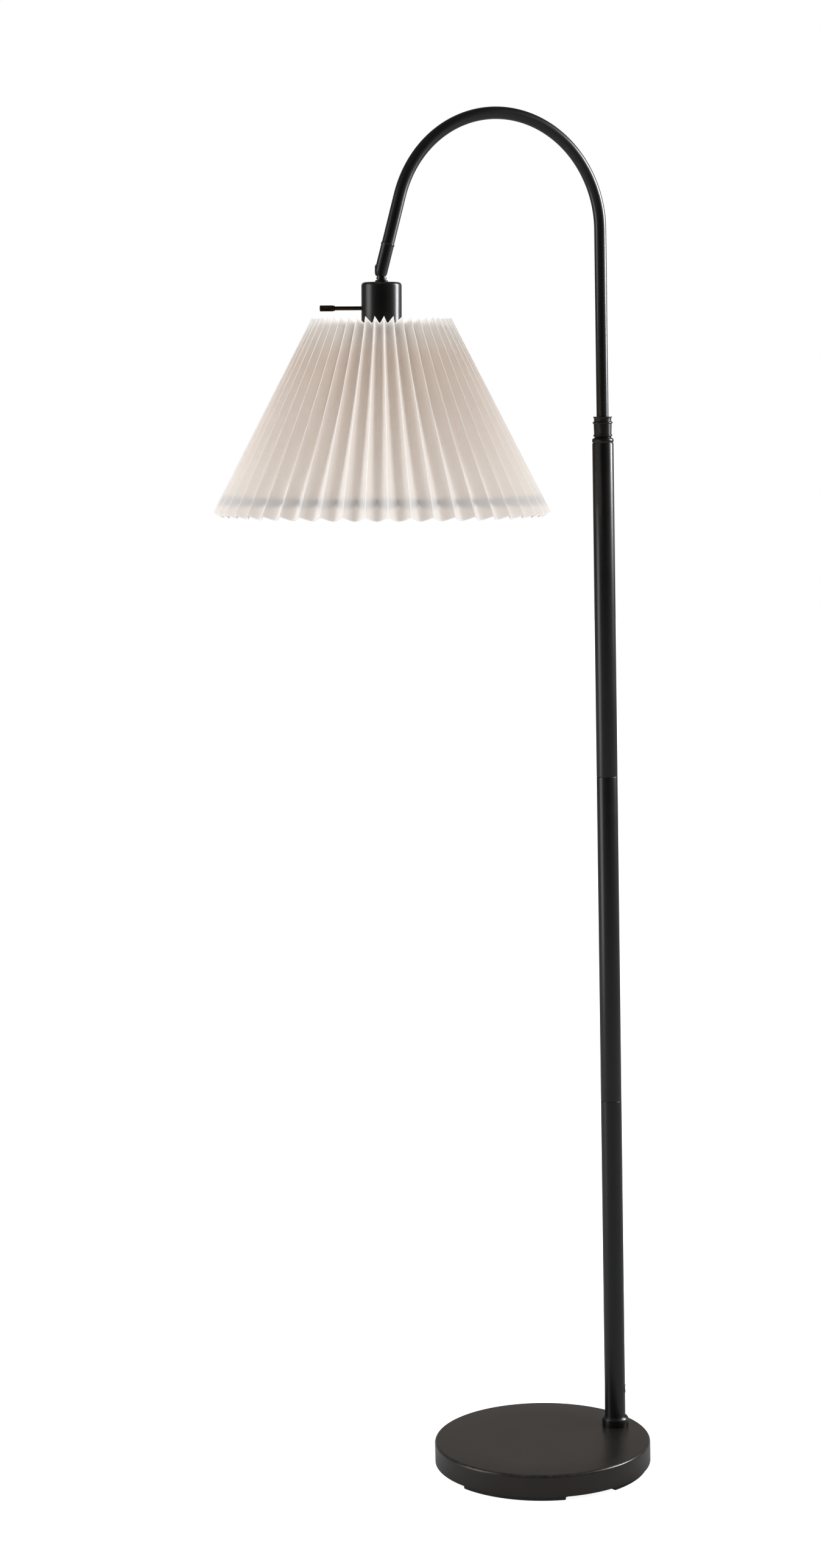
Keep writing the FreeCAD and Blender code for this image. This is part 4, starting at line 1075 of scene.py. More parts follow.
class Shop:
    """What every sub-assembly works with: the frame, and the way that pieces are handed in."""

    def __init__(self, frame: dict) -> None:
        """Keeps what the frame's loading gave."""
        self.nodes: dict[str, bpy.types.Object] = frame["nodes"]
        self.joints = {joint["name"]: joint for joint in frame["joints"]}

    def hand_in(
        self, piece: bpy.types.Object, body: Body, slot: str, *stands_for: str
    ) -> bpy.types.Object:
        """Makes a piece ride on its body and stand for its frame nodes.

        Args:
            piece: The finished piece.
            body: The body it rides on.
            slot: The record's material slot; not used.
            stands_for: The frame nodes it stands for.

        Returns:
            The piece.
        """
        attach(piece, body.value)
        if stands_for:
            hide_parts(*stands_for)
        LOG.info("%-22s %-7s %7d faces", piece.name, body.value, len(piece.data.polygons))
        return piece

    def dress(self, finish: Finish, *names: str) -> None:
        """Gives frame nodes that stay as they are their finish.

        Args:
            finish: The finish.
            names: The nodes.
        """
        for name in names:
            node = self.nodes[name]
            if not node.material_slots:
                node.data.materials.append(finish.material())
            for slot in node.material_slots:
                slot.material = finish.material()

    def soften(
        self, node: str, name: str, finish: Finish, round_mm: float, body: Body, slot: str
    ) -> bpy.types.Object:
        """Hands in a merged copy of a frame node with its sharp edges rounded over.

        Args:
            node: The frame node that is copied and stood for.
            name: The new piece's name.
            finish: Its finish.
            round_mm: How far its edges are rounded.
            body: The body it rides on.
            slot: The record's material slot.

        Returns:
            The piece.
        """
        work = bmesh.new()
        work.from_mesh(self.nodes[node].data)
        bmesh.ops.remove_doubles(work, verts=work.verts, dist=0.002 * MM)
        flat = math.radians(0.6)
        bmesh.ops.dissolve_limit(work, angle_limit=flat, verts=work.verts, edges=work.edges)
        mesh = bpy.data.meshes.new(name)
        work.to_mesh(mesh)
        work.free()
        if round_mm > 0.0:
            limit = {"limit_method": "ANGLE", "angle_limit": math.radians(SMOOTH_DEG)}
            mesh = modified(
                mesh, "BEVEL", width=round_mm * MM, segments=3, harden_normals=False, **limit
            )
        mesh.polygons.foreach_set("material_index", [0] * len(mesh.polygons))
        return self.hand_in(mesh_object(name, mesh, finish), body, slot, node)


class Recipe:
    """A Geometry Nodes tree with named inputs, run once and turned into a plain mesh."""

    def __init__(self, name: str, numbers: Sequence[str], counts: Sequence[str]) -> None:
        """Starts the tree with its inputs and its one geometry output.

        Args:
            name: The tree's name.
            numbers: The names of its inputs that are plain numbers.
            counts: The names of its inputs that are whole numbers.
        """
        self.tree = bpy.data.node_groups.new(name, "GeometryNodeTree")
        add = self.tree.interface.new_socket
        for way in ("INPUT", "OUTPUT"):
            add(name="Geometry", in_out=way, socket_type="NodeSocketGeometry")
        kinds = {label: "NodeSocketFloat" for label in numbers}
        kinds.update({label: "NodeSocketInt" for label in counts})
        for label, kind in {**kinds, "Finish": "NodeSocketMaterial"}.items():
            add(name=label, in_out="INPUT", socket_type=kind)
        self.bench = Bench(self.tree)
        self.source = self.bench.node("NodeGroupInput")
        self.sink = self.bench.node("NodeGroupOutput")

    def __getitem__(self, label: str) -> Wire:
        """One of the tree's inputs."""
        return Wire(self.bench, self.source.outputs[label])

    def whole(self, label: str) -> Wire:
        """An input that is a whole number, as a plain value."""
        return self[label] + 0.0

    def close(self, geometry: Wire) -> Recipe:
        """Ends the tree: what it has made becomes real geometry in its finish.

        Args:
            geometry: What the tree has made.

        Returns:
            The recipe, ready to run.
        """
        real = self.bench.use("GeometryNodeRealizeInstances", Geometry=geometry)
        finish = self["Finish"]
        dressed = self.bench.use("GeometryNodeSetMaterial", Geometry=real, Material=finish)
        self.bench.feed(self.sink.inputs["Geometry"], dressed)
        return self

    def run(
        self, finish: Finish, start: bpy.types.Mesh | None = None, **values: float
    ) -> bpy.types.Mesh:
        """Runs the tree and gives the plain mesh that it makes.

        Args:
            finish: The finish of what it makes.
            start: The mesh that goes in, or None for a tree that needs none.
            values: The inputs by name, with spaces as underscores.

        Returns:
            The made mesh.
        """
        held = linked(self.tree.name, start or bpy.data.meshes.new("start"))
        modifier = held.modifiers.new("recipe", "NODES")
        modifier.node_group = self.tree
        given = {**values, "Finish": finish.material()}
        for item in self.tree.interface.items_tree:
            key = item.name.replace(" ", "_")
            if item.in_out == "INPUT" and key in given:
                modifier[item.identifier] = given[key]
        return evaluated_mesh(held)


def ribbed_recipe() -> Recipe:
    """A tree that presses ribs or flutes, which run along the axis, into a turned mesh.

    The mesh is drawn about Z in millimetres. Ribs fade out near the two ends of their stretch.

    Returns:
        The recipe.
    """
    numbers = ("Depth", "Low", "High", "Fade", "Inner", "Sharpness")
    recipe = Recipe("ribs_along_axis", numbers, ("Ribs",))
    bench = recipe.bench
    x, y, z = bench.parts(bench.use("GeometryNodeInputPosition"))
    radius = (x * x + y * y).root()
    wave = (y.math("ARCTAN2", x) * recipe.whole("Ribs")).cosine() * 0.5 + 0.5
    groove = wave.math("POWER", recipe["Sharpness"])
    rise = ((z - recipe["Low"]) / recipe["Fade"]).held()
    fall = ((recipe["High"] - z) / recipe["Fade"]).held()
    outside = (radius - recipe["Inner"]).math("GREATER_THAN", 0.0)
    cut = groove * rise * fall * outside * recipe["Depth"]
    share = (radius - cut) / radius.math("MAXIMUM", 0.001)
    return recipe.close(bench.moved(recipe["Geometry"], bench.vector(x * share, y * share, z)))


def bent_tube_recipe() -> Recipe:
    """A tree that draws an arm: a straight leg, one even bend and a straight tip, as a skin.

    Returns:
        The recipe.
    """
    numbers = ("Foot X", "Foot Z", "Leg", "Bend Radius", "Bend", "Tip", "Radius")
    recipe = Recipe("bent_arm", numbers, ("Steps", "Round Steps"))
    bench = recipe.bench
    leg, bend_radius, bend = recipe["Leg"], recipe["Bend Radius"], recipe["Bend"]
    total = leg + bend_radius * bend + recipe["Tip"]
    line = bench.use("GeometryNodeCurvePrimitiveLine")
    by_count = {"mode": "COUNT"}
    fine = bench.use(
        "GeometryNodeResampleCurve", settings=by_count, Curve=line, Count=recipe["Steps"]
    )
    run = bench.use("GeometryNodeSplineParameter", out="Factor") * total
    up = run.math("MINIMUM", leg)
    turned_by = ((run - leg) / bend_radius).math("MAXIMUM", 0.0).math("MINIMUM", bend)
    beyond = (run - leg - bend_radius * bend).math("MAXIMUM", 0.0)
    x = recipe["Foot X"] + (turned_by.cosine() - 1.0) * bend_radius - bend.sine() * beyond
    z = recipe["Foot Z"] + up + turned_by.sine() * bend_radius + bend.cosine() * beyond
    path = bench.moved(fine, bench.vector(x, 0.0, z))
    size = {"Resolution": recipe["Round Steps"], "Radius": recipe["Radius"]}
    ring = bench.use("GeometryNodeCurvePrimitiveCircle", **size)
    return recipe.close(bench.use("GeometryNodeCurveToMesh", Curve=path, Profile_Curve=ring))


def tack_recipe() -> Recipe:
    """A tree that ties a small loop of thread round a wire ring at every inner fold.

    Returns:
        The recipe.
    """
    numbers = ("Ring Radius", "Ring Height", "First Turn", "Loop Radius", "Thread Radius")
    recipe = Recipe("fold_tacks", numbers, ("Tacks",))
    bench = recipe.bench
    circle = bench.use("GeometryNodeMeshCircle", Vertices=recipe["Tacks"])
    place = bench.use("GeometryNodeInputIndex") + 0.0
    angle = place / recipe.whole("Tacks") * FULL_TURN + recipe["First Turn"]
    radius = recipe["Ring Radius"]
    spot = bench.vector(angle.cosine() * radius, angle.sine() * radius, recipe["Ring Height"])
    spots = bench.moved(circle, spot)
    loop, strand = (
        bench.use("GeometryNodeCurvePrimitiveCircle", Resolution=count, Radius=recipe[label])
        for count, label in ((12, "Loop Radius"), (5, "Thread Radius"))
    )
    tack = bench.use("GeometryNodeCurveToMesh", Curve=loop, Profile_Curve=strand)
    tangent = bench.vector(angle.sine() * -1.0, angle.cosine(), 0.0)
    turn = bench.use("FunctionNodeAlignRotationToVector", settings={"axis": "Z"}, Vector=tangent)
    instances = {"Points": spots, "Instance": tack, "Rotation": turn}
    return recipe.close(bench.use("GeometryNodeInstanceOnPoints", **instances))


def pleat_recipe() -> Recipe:
    """A tree that folds a cloth round a cone: sharp outer creases, soft inner troughs.

    The cloth's flat measure goes on its faces as a UV map, in metres round and down, and each
    point carries a fold mark: 1 on an outer crease, 0 in a trough.

    Returns:
        The recipe.
    """
    numbers = (
        "Top Radius", "Bottom Radius", "Top Drop", "Height", "Top Depth", "Bottom Depth",
        "Slope", "Trough", "Waver", "Seed", "Cloth Width", "Cloth Length",
    )
    recipe = Recipe("pleated_cone", numbers, ("Pleats", "Steps", "Rows"))
    bench = recipe.bench
    pleats, slope, trough = recipe.whole("Pleats"), recipe["Slope"], recipe["Trough"]
    waver, seed = recipe["Waver"], recipe["Seed"]
    grid = bench.node("GeometryNodeMeshGrid")
    columns = pleats * recipe.whole("Steps") + 1.0
    sizes = {"Size X": 1.0, "Size Y": 1.0, "Vertices X": columns, "Vertices Y": recipe["Rows"]}
    for label, value in sizes.items():
        bench.feed(grid.inputs[label], value)
    flat_u, flat_v, _ = bench.parts(Wire(bench, grid.outputs["UV Map"]))
    flat = bench.vector(
        flat_u * recipe["Cloth Width"] * MM, flat_v.minus_from(1.0) * recipe["Cloth Length"] * MM
    )
    cloth = bench.stored(Wire(bench, grid.outputs["Mesh"]), "UVMap", flat, "FLOAT2", "CORNER")

    x, y, _ = bench.parts(bench.use("GeometryNodeInputPosition"))
    down = y.minus_from(0.5)
    pleat = (x + 0.5) * pleats
    spread = pleat.math("FRACT") * 2.0 - 1.0
    even = spread.size()
    out = ((even - 0.5) * math.pi).sine() * 0.5 + 0.5
    soft = ((out * out + trough * trough).root() - trough) / (
        (trough * trough + 1.0).root() - trough
    )
    half_pleat = pleats.math("POWER", -1.0) * math.pi
    turn = (pleat.math("FLOOR") * 2.0 + 1.0 + spread.math("SIGN") * out) * half_pleat
    round_x, round_y = turn.cosine(), turn.sine()
    sway_place = bench.vector(round_x * 2.2, round_y * 2.2, down * 0.8 + seed)
    sway = bench.noise(sway_place, 1.0, 2.0) - 0.5
    panel_place = bench.vector(round_x * 16.0, round_y * 16.0, down * 2.6 + seed + 9.0)
    panel = bench.noise(panel_place, 1.0, 1.0) - 0.5
    ridge = bench.between(down, recipe["Top Radius"], recipe["Bottom Radius"])
    depth = bench.between(down, recipe["Top Depth"], recipe["Bottom Depth"])
    belly = (out * math.pi).sine() * panel * waver * 2.4
    sink = depth * soft.minus_from(1.0) + belly
    ring = ridge - sink * slope.cosine() + panel * waver * 0.7
    drop = recipe["Top Drop"] + down * recipe["Height"] + sink * slope.sine()
    angle = turn + sway * waver * 0.035
    marked = bench.stored(cloth, "fold", even, "FLOAT", "POINT")
    spot = bench.vector(ring * angle.cosine(), ring * angle.sine(), drop * -1.0)
    folded = bench.moved(marked, spot)
    return recipe.close(bench.use("GeometryNodeMergeByDistance", Geometry=folded, Distance=0.02))


# ---------------------------------------------------------------- the lamp's sub-assemblies
@dataclass
class WeightedBase:
    """The round base: a spun cover over a cast weight, closed below by a plate on pads."""

    shop: Shop
    radius: float = 132.0
    height: float = 27.1
    floor_gap: float = 5.5
    skin: float = 1.2
    edge_round: float = 3.5
    lip_round: float = 0.45
    pad_round: float = 0.5
    plate_round: float = 0.3

    @property
    def top(self) -> float:
        """The height of the cover's top."""
        return self.floor_gap + self.height

    def cover(self) -> bpy.types.Object:
        """The spun cover, with a softly rolled top edge and a thin lower lip.

        Returns:
            The piece, not yet handed in.
        """
        inner = self.radius - self.skin
        corners = [
            (0.0, self.top - self.skin, 0.0),
            (inner, self.top - self.skin, self.edge_round - self.skin),
            (inner, self.floor_gap, self.lip_round),
            (self.radius, self.floor_gap, self.lip_round),
            (self.radius, self.top, self.edge_round),
            *[(self.radius * share, self.top, 0.0) for share in (0.66, 0.33, 0.0)],
        ]
        return turned("base_spun_cover", BLACK_BASE, Place(), 224, corners, steps=8)

    def build(self) -> None:
        """Makes and hands in the base's pieces."""
        shop = self.shop
        shop.hand_in(self.cover(), Body.STAND, "base_black", "base_cover")
        body, pad = Body.STAND, self.pad_round
        plate = ("base_floor_plate", "base_closing_plate")
        shop.soften(*plate, FLOOR_PLATE, self.plate_round, body, "floor_plate")
        shop.soften("foot_pads", "foot_grip_pads", RUBBER, pad, body, "pads")
        shop.soften("centre_pad", "foot_centre_pad", RUBBER, pad, body, "pads")
        shop.dress(CAST_WEIGHT, "base_weight")
        shop.dress(ZINC, "base_washer", "base_nut", "base_stud")


@dataclass
class ThreePartPole:
    """The pole of three screwed tubes, with its foot collar and the turned neck on top."""

    shop: Shop
    base_top: float
    offset: float = 102.0
    radius: float = 12.7
    wall: float = 1.2
    section: float = 400.0
    sections: int = 3
    end_round: float = 0.6
    foot_radius: float = 16.25
    foot_height: float = 12.3
    foot_chamfer: float = 2.2
    foot_rim: float = 0.9
    foot_seat: float = 0.6
    foot_bore: float = 5.3
    fit_gap: float = 0.04
    inlet_height: float = 79.0
    inlet_radius: float = 4.4
    inlet_turn_deg: float = -32.0
    neck_bore: float = 7.21
    neck_spigot: float = 14.0
    neck_step: float = 12.1
    neck_stem: float = 10.3
    neck_barrel: float = 10.75
    neck_lip: float = 11.2

    @property
    def bottom(self) -> float:
        """Where the lowest tube stands in the foot collar."""
        return self.base_top + self.foot_height - self.foot_seat

    @property
    def top(self) -> float:
        """Where the highest tube ends."""
        return self.bottom + self.sections * self.section

    @property
    def place(self) -> Place:
        """The pole's own axis."""
        return Place(Vector((self.offset, 0.0, 0.0)))

    def tube(self, index: int) -> bpy.types.Mesh:
        """One tube with rounded ends.

        Args:
            index: Which tube, counted from the lowest.

        Returns:
            The mesh.
        """
        low = self.bottom + index * self.section
        high = low + self.section
        inner = self.radius - self.wall
        corners = [
            (inner, low, 0.0),
            (self.radius, low, self.end_round),
            (self.radius, high, self.end_round),
            (inner, high, 0.0),
        ]
        return turned_mesh(rounded(corners), 96, self.place)

    def lower_tube(self) -> bpy.types.Object:
        """The lowest tube, drilled for the supply lead's bush.

        Returns:
            The piece, not yet handed in.
        """
        hole = (self.inlet_height, self.inlet_turn_deg, self.radius * 2.0, self.inlet_radius)
        mesh = drilled(self.tube(0), self.place, *hole)
        piece = mesh_object("pole_tube_lower", mesh, BLACK_POLE)
        true_normals(mesh, self.place, self.radius)
        return piece

    def foot(self) -> bpy.types.Object:
        """The turned collar that the pole stands in.

        Returns:
            The piece, not yet handed in.
        """
        high = self.base_top + self.foot_height
        shoulder = high - self.foot_rim
        seat = self.radius + self.fit_gap
        rim = seat + self.foot_rim
        corners = [
            (self.foot_bore, self.base_top, 0.0),
            (self.foot_radius, self.base_top, 0.25),
            (self.foot_radius, high - self.foot_chamfer - self.foot_rim, 0.5),
            (rim + self.foot_rim, shoulder, 0.3),
            (rim, shoulder, 0.15),
            (rim, high, 0.3),
            (seat, high, 0.2),
            (seat, self.bottom, 0.0),
            (self.foot_bore, self.bottom, 0.0),
        ]
        return turned("pole_foot_collar", BLACK_POLE, self.place, 128, corners)

    def neck(self) -> bpy.types.Object:
        """The turned neck: a ring, a waist, a barrel between two beads, and a flared lip.

        Returns:
            The piece, not yet handed in.
        """
        base = self.top
        ring_low = base + 0.8
        ring_high = ring_low + 4.6
        waist = ring_high + 1.5
        bead_low = waist + 0.9
        bead_high = bead_low + 2.6
        barrel_top = bead_high + 12.4
        high_bead_top = barrel_top + 3.0
        band_top = high_bead_top + 3.6
        lip_top = band_top + 2.1
        spigot = self.radius - self.wall - self.fit_gap / 2.0
        bore, step, stem = self.neck_bore, self.neck_step, self.neck_stem
        barrel, lip = self.neck_barrel, self.neck_lip
        corners = [
            (bore, base - self.neck_spigot, 0.0),
            (spigot, base - self.neck_spigot, 0.3),
            (spigot, base, 0.0),
            (step, base, 0.0),
            (step, ring_low, 0.0),
            *beaded((step + 0.05, ring_low), (step + 0.05, ring_high), 12.85),
            *beaded((step - 0.1, ring_high + 0.15), (stem - 0.35, waist), 10.6, 5),
            (stem, bead_low, 0.0),
            *beaded((stem + 0.05, bead_low + 0.05), (stem + 0.05, bead_high), 11.45),
            (barrel, barrel_top, 0.0),
            *beaded((barrel, barrel_top + 0.05), (stem, high_bead_top), 11.95),
            (stem, band_top, 0.2),
            (lip, lip_top - 0.9, 0.25),
            (lip, lip_top, 0.35),
            (bore + 0.5, lip_top, 0.3),
            (bore, lip_top - 0.6, 0.0),
        ]
        return turned("pole_neck_collar", BLACK_POLE, self.place, 128, corners, steps=3)

    def build(self) -> None:
        """Makes and hands in the pole's pieces."""
        shop = self.shop
        shop.hand_in(self.lower_tube(), Body.STAND, "pole_black", "pole_lower")
        for index, level in enumerate(("middle", "upper"), 1):
            piece = mesh_object(f"pole_tube_{level}", self.tube(index), BLACK_POLE)
            shop.hand_in(piece, Body.STAND, "pole_black", f"pole_{level}")
        shop.hand_in(self.foot(), Body.STAND, "base_black", "foot_collar")
        shop.hand_in(self.neck(), Body.STAND, "pole_black", "neck_collar")
        bush = ("cord_grommet", "lead_inlet_bush")
        shop.soften(*bush, BLACK_PLASTIC, 0.12, Body.STAND, "black_plastic")
        shop.dress(ZINC, "pole_inserts", "pole_joint_studs")
        shop.dress(LEAD_SHEATH, "pole_lead")
        shop.dress(NYLON, "swivel_sleeve")


@dataclass
class ArchedArm:
    """The bent arm tube, which turns in the neck, and its half of the tilt joint."""

    shop: Shop
    pole_offset: float
    pole_top: float
    radius: float = 7.15
    wall: float = 1.0
    leg_above_pole: float = 250.7
    leg_below_pole: float = 56.55
    bend_radius: float = 132.5
    bend_deg: float = 163.4
    tip: float = 56.85

    def tube(self) -> bpy.types.Object:
        """The arm tube, swept by its recipe and given its wall.

        Returns:
            The piece, not yet handed in.
        """
        skin = bent_tube_recipe().run(
            BLACK_POLE,
            Foot_X=self.pole_offset * MM,
            Foot_Z=(self.pole_top - self.leg_below_pole) * MM,
            Leg=(self.leg_above_pole + self.leg_below_pole) * MM,
            Bend_Radius=self.bend_radius * MM,
            Bend=math.radians(self.bend_deg),
            Tip=self.tip * MM,
            Radius=self.radius * MM,
            Steps=300,
            Round_Steps=56,
        )
        mesh = modified(skin, "SOLIDIFY", thickness=self.wall * MM, offset=-1.0)
        return mesh_object("arm_bent_tube", mesh, BLACK_POLE)

    def build(self) -> None:
        """Makes and hands in the arm's pieces."""
        shop, body = self.shop, Body.ARM
        shop.hand_in(self.tube(), body, "pole_black", "arc_tube")
        shop.soften("arm_knuckle", "arm_tilt_knuckle", BLACK_POLE, 0.35, body, "pole_black")
        shop.soften("pivot_screw", "tilt_pivot_screw", DARK_SCREW, 0.15, body, "dark_screw")
        shop.dress(DARK_SCREW, "spring_washer")
        shop.dress(NYLON, "arm_stop_ring")
        shop.dress(LEAD_SHEATH, "arm_lead")


@dataclass
class LampHolder:
    """The drawn cap on its shank, with the holder, its screws and its contacts inside."""

    shop: Shop
    place: Place
    cap_top: float = 14.0
    cap_radius: float = 23.1
    cap_height: float = 58.0
    cap_wall: float = 1.2
    cap_round: float = 3.8
    cap_hole: float = 5.15
    switch_drop: float = 43.2
    switch_turn_deg: float = 30.0
    switch_hole: float = 2.8
    lock_radius: float = 7.3
    lock_height: float = 2.7
    lock_foot: float = 5.6
    shank_bore: float = 4.9
    flange_radius: float = 5.95

    def cap(self) -> bpy.types.Object:
        """The drawn cup, drilled for the shank and the switch's rod.

        Returns:
            The piece, not yet handed in.
        """
        high = -self.cap_top
        low = high - self.cap_height
        inner = self.cap_radius - self.cap_wall
        corners = [
            (self.cap_hole, high - self.cap_wall, 0.0),
            (inner, high - self.cap_wall, self.cap_round - self.cap_wall),
            (inner, low, 0.25),
            (self.cap_radius, low, 0.35),
            (self.cap_radius, high, self.cap_round),
            (self.cap_hole, high, 0.2),
        ]
        mesh = turned_mesh(rounded(corners, steps=8), 144, self.place)
        reach = self.cap_radius * 1.5
        hole = (-self.switch_drop, 180.0 - self.switch_turn_deg, reach, self.switch_hole)
        mesh = drilled(mesh, self.place, *hole)
        piece = mesh_object("holder_drawn_cap", mesh, BLACK_CAP)
        true_normals(mesh, self.place, self.cap_radius)
        return piece

    def lock(self) -> bpy.types.Object:
        """The rounded ring on the shank, down on the cap.

        Returns:
            The piece, not yet handed in.
        """
        low = -self.cap_top
        high = low + self.lock_height
        side = self.lock_radius - 0.7
        corners = [
            (self.shank_bore, low, 0.0),
            (self.lock_foot, low, 0.0),
            *beaded((side, low + 0.35), (side, high - 0.3), self.lock_radius),
            (self.flange_radius, high, 0.2),
            (self.shank_bore, high, 0.0),
        ]
        return turned("holder_lock_ring", BLACK_CAP, self.place, 72, corners)

    def build(self) -> None:
        """Makes and hands in the holder's pieces."""
        shop, body = self.shop, Body.HEAD
        shop.hand_in(self.cap(), body, "pole_black", "socket_cap")
        shop.hand_in(self.lock(), body, "pole_black", "lock_ring")
        for node, name, finish, round_mm, slot in (
            ("head_knuckle", "head_tilt_knuckle", BLACK_POLE, 0.3, "pole_black"),
            ("holder_sleeve", "holder_lower_sleeve", HOLDER_PLASTIC, 0.25, "holder_plastic"),
            ("holder_screws", "holder_long_screws", ZINC, 0.12, "zinc_hardware"),
        ):
            shop.soften(node, name, finish, round_mm, body, slot)
        shop.dress(HOLDER_PLASTIC, "holder_body")
        shop.dress(FIBRE, "friction_washer")
        shop.dress(ZINC, "cap_washer", "cap_nut")
        shop.dress(BRASS, "screw_shell", "centre_contact", "switch_leaf")


@dataclass
class RotarySwitch:
    """The turning switch: a long bronze rod through the cap, with a knurled knob."""

    shop: Shop
    place: Place
    drop: float = 43.2
    turn_deg: float = 30.0
    rod_radius: float = 2.3
    rod_start: float = 1.5
    knob_start: float = 54.0
    knob_length: float = 17.0
    knob_radius: float = 3.45
    knob_socket: float = 8.0
    knob_gap: float = 0.02
    plain_band: float = 1.9
    knurls: int = 34
    knurl_depth: float = 0.24

    def along(self) -> Matrix:
        """The rod's axis as a matrix in metres: local Z runs outwards along it.

        Returns:
            The matrix.
        """
        turn = Matrix.Rotation(math.radians(-self.turn_deg), 4, "Z")
        drop = Matrix.Translation(Vector((0.0, 0.0, -self.drop)))
        lay = Matrix.Rotation(math.radians(-90.0), 4, "Y")
        return self.place.matrix() @ turn @ drop @ lay

    def rod(self) -> bpy.types.Object:
        """The plain round rod.

        Returns:
            The piece, not yet handed in.
        """
        end = self.knob_start + self.knob_socket
        corners = [
            (0.0, self.rod_start, 0.0),
            (self.rod_radius, self.rod_start, 0.3),
            (self.rod_radius, end, 0.2),
            (0.0, end, 0.0),
        ]
        mesh = turned_mesh(rounded(corners), 40)
        mesh.transform(self.along())
        return mesh_object("switch_long_rod", mesh, DARK_BRONZE)

    def knob(self) -> bpy.types.Object:
        """The knurled knob, with plain bands at its two ends.

        Returns:
            The piece, not yet handed in.
        """
        low, radius = self.knob_start, self.knob_radius
        high = low + self.knob_length
        knurled = low + self.plain_band
        socket = self.rod_radius + self.knob_gap
        socket_end = low + self.knob_socket + self.knob_gap
        corners = [
            (socket, low, 0.0),
            (radius - 0.3, low, 0.2),
            (radius - 0.1, low + 0.9, 0.15),
            (radius - 0.55, low + 1.2, 0.1),
            (radius - 0.55, low + 1.6, 0.1),
            (radius, knurled, 0.1),
            *[(radius, knurled + step * 1.15, 0.0) for step in range(1, 12)],
            (radius, high, 0.7),
            (0.0, high, 0.0),
            (0.0, socket_end, 0.0),
            (socket, socket_end, 0.0),
        ]
        mesh = ribbed_recipe().run(
            DARK_BRONZE,
            turned_mesh(rounded(corners), self.knurls * 7),
            Ribs=self.knurls,
            Depth=self.knurl_depth,
            Low=knurled,
            High=high - 0.5,
            Fade=0.6,
            Inner=radius - 0.4,
            Sharpness=1.4,
        )
        mesh.transform(self.along())
        return mesh_object("switch_knurled_knob", mesh, DARK_BRONZE)

    def build(self) -> None:
        """Makes and hands in the switch's moving pieces."""
        self.shop.hand_in(self.rod(), Body.SWITCH, "knob_bronze", "switch_rod")
        self.shop.hand_in(self.knob(), Body.SWITCH, "knob_bronze", "switch_knob")
        self.shop.dress(NYLON, "switch_cam")


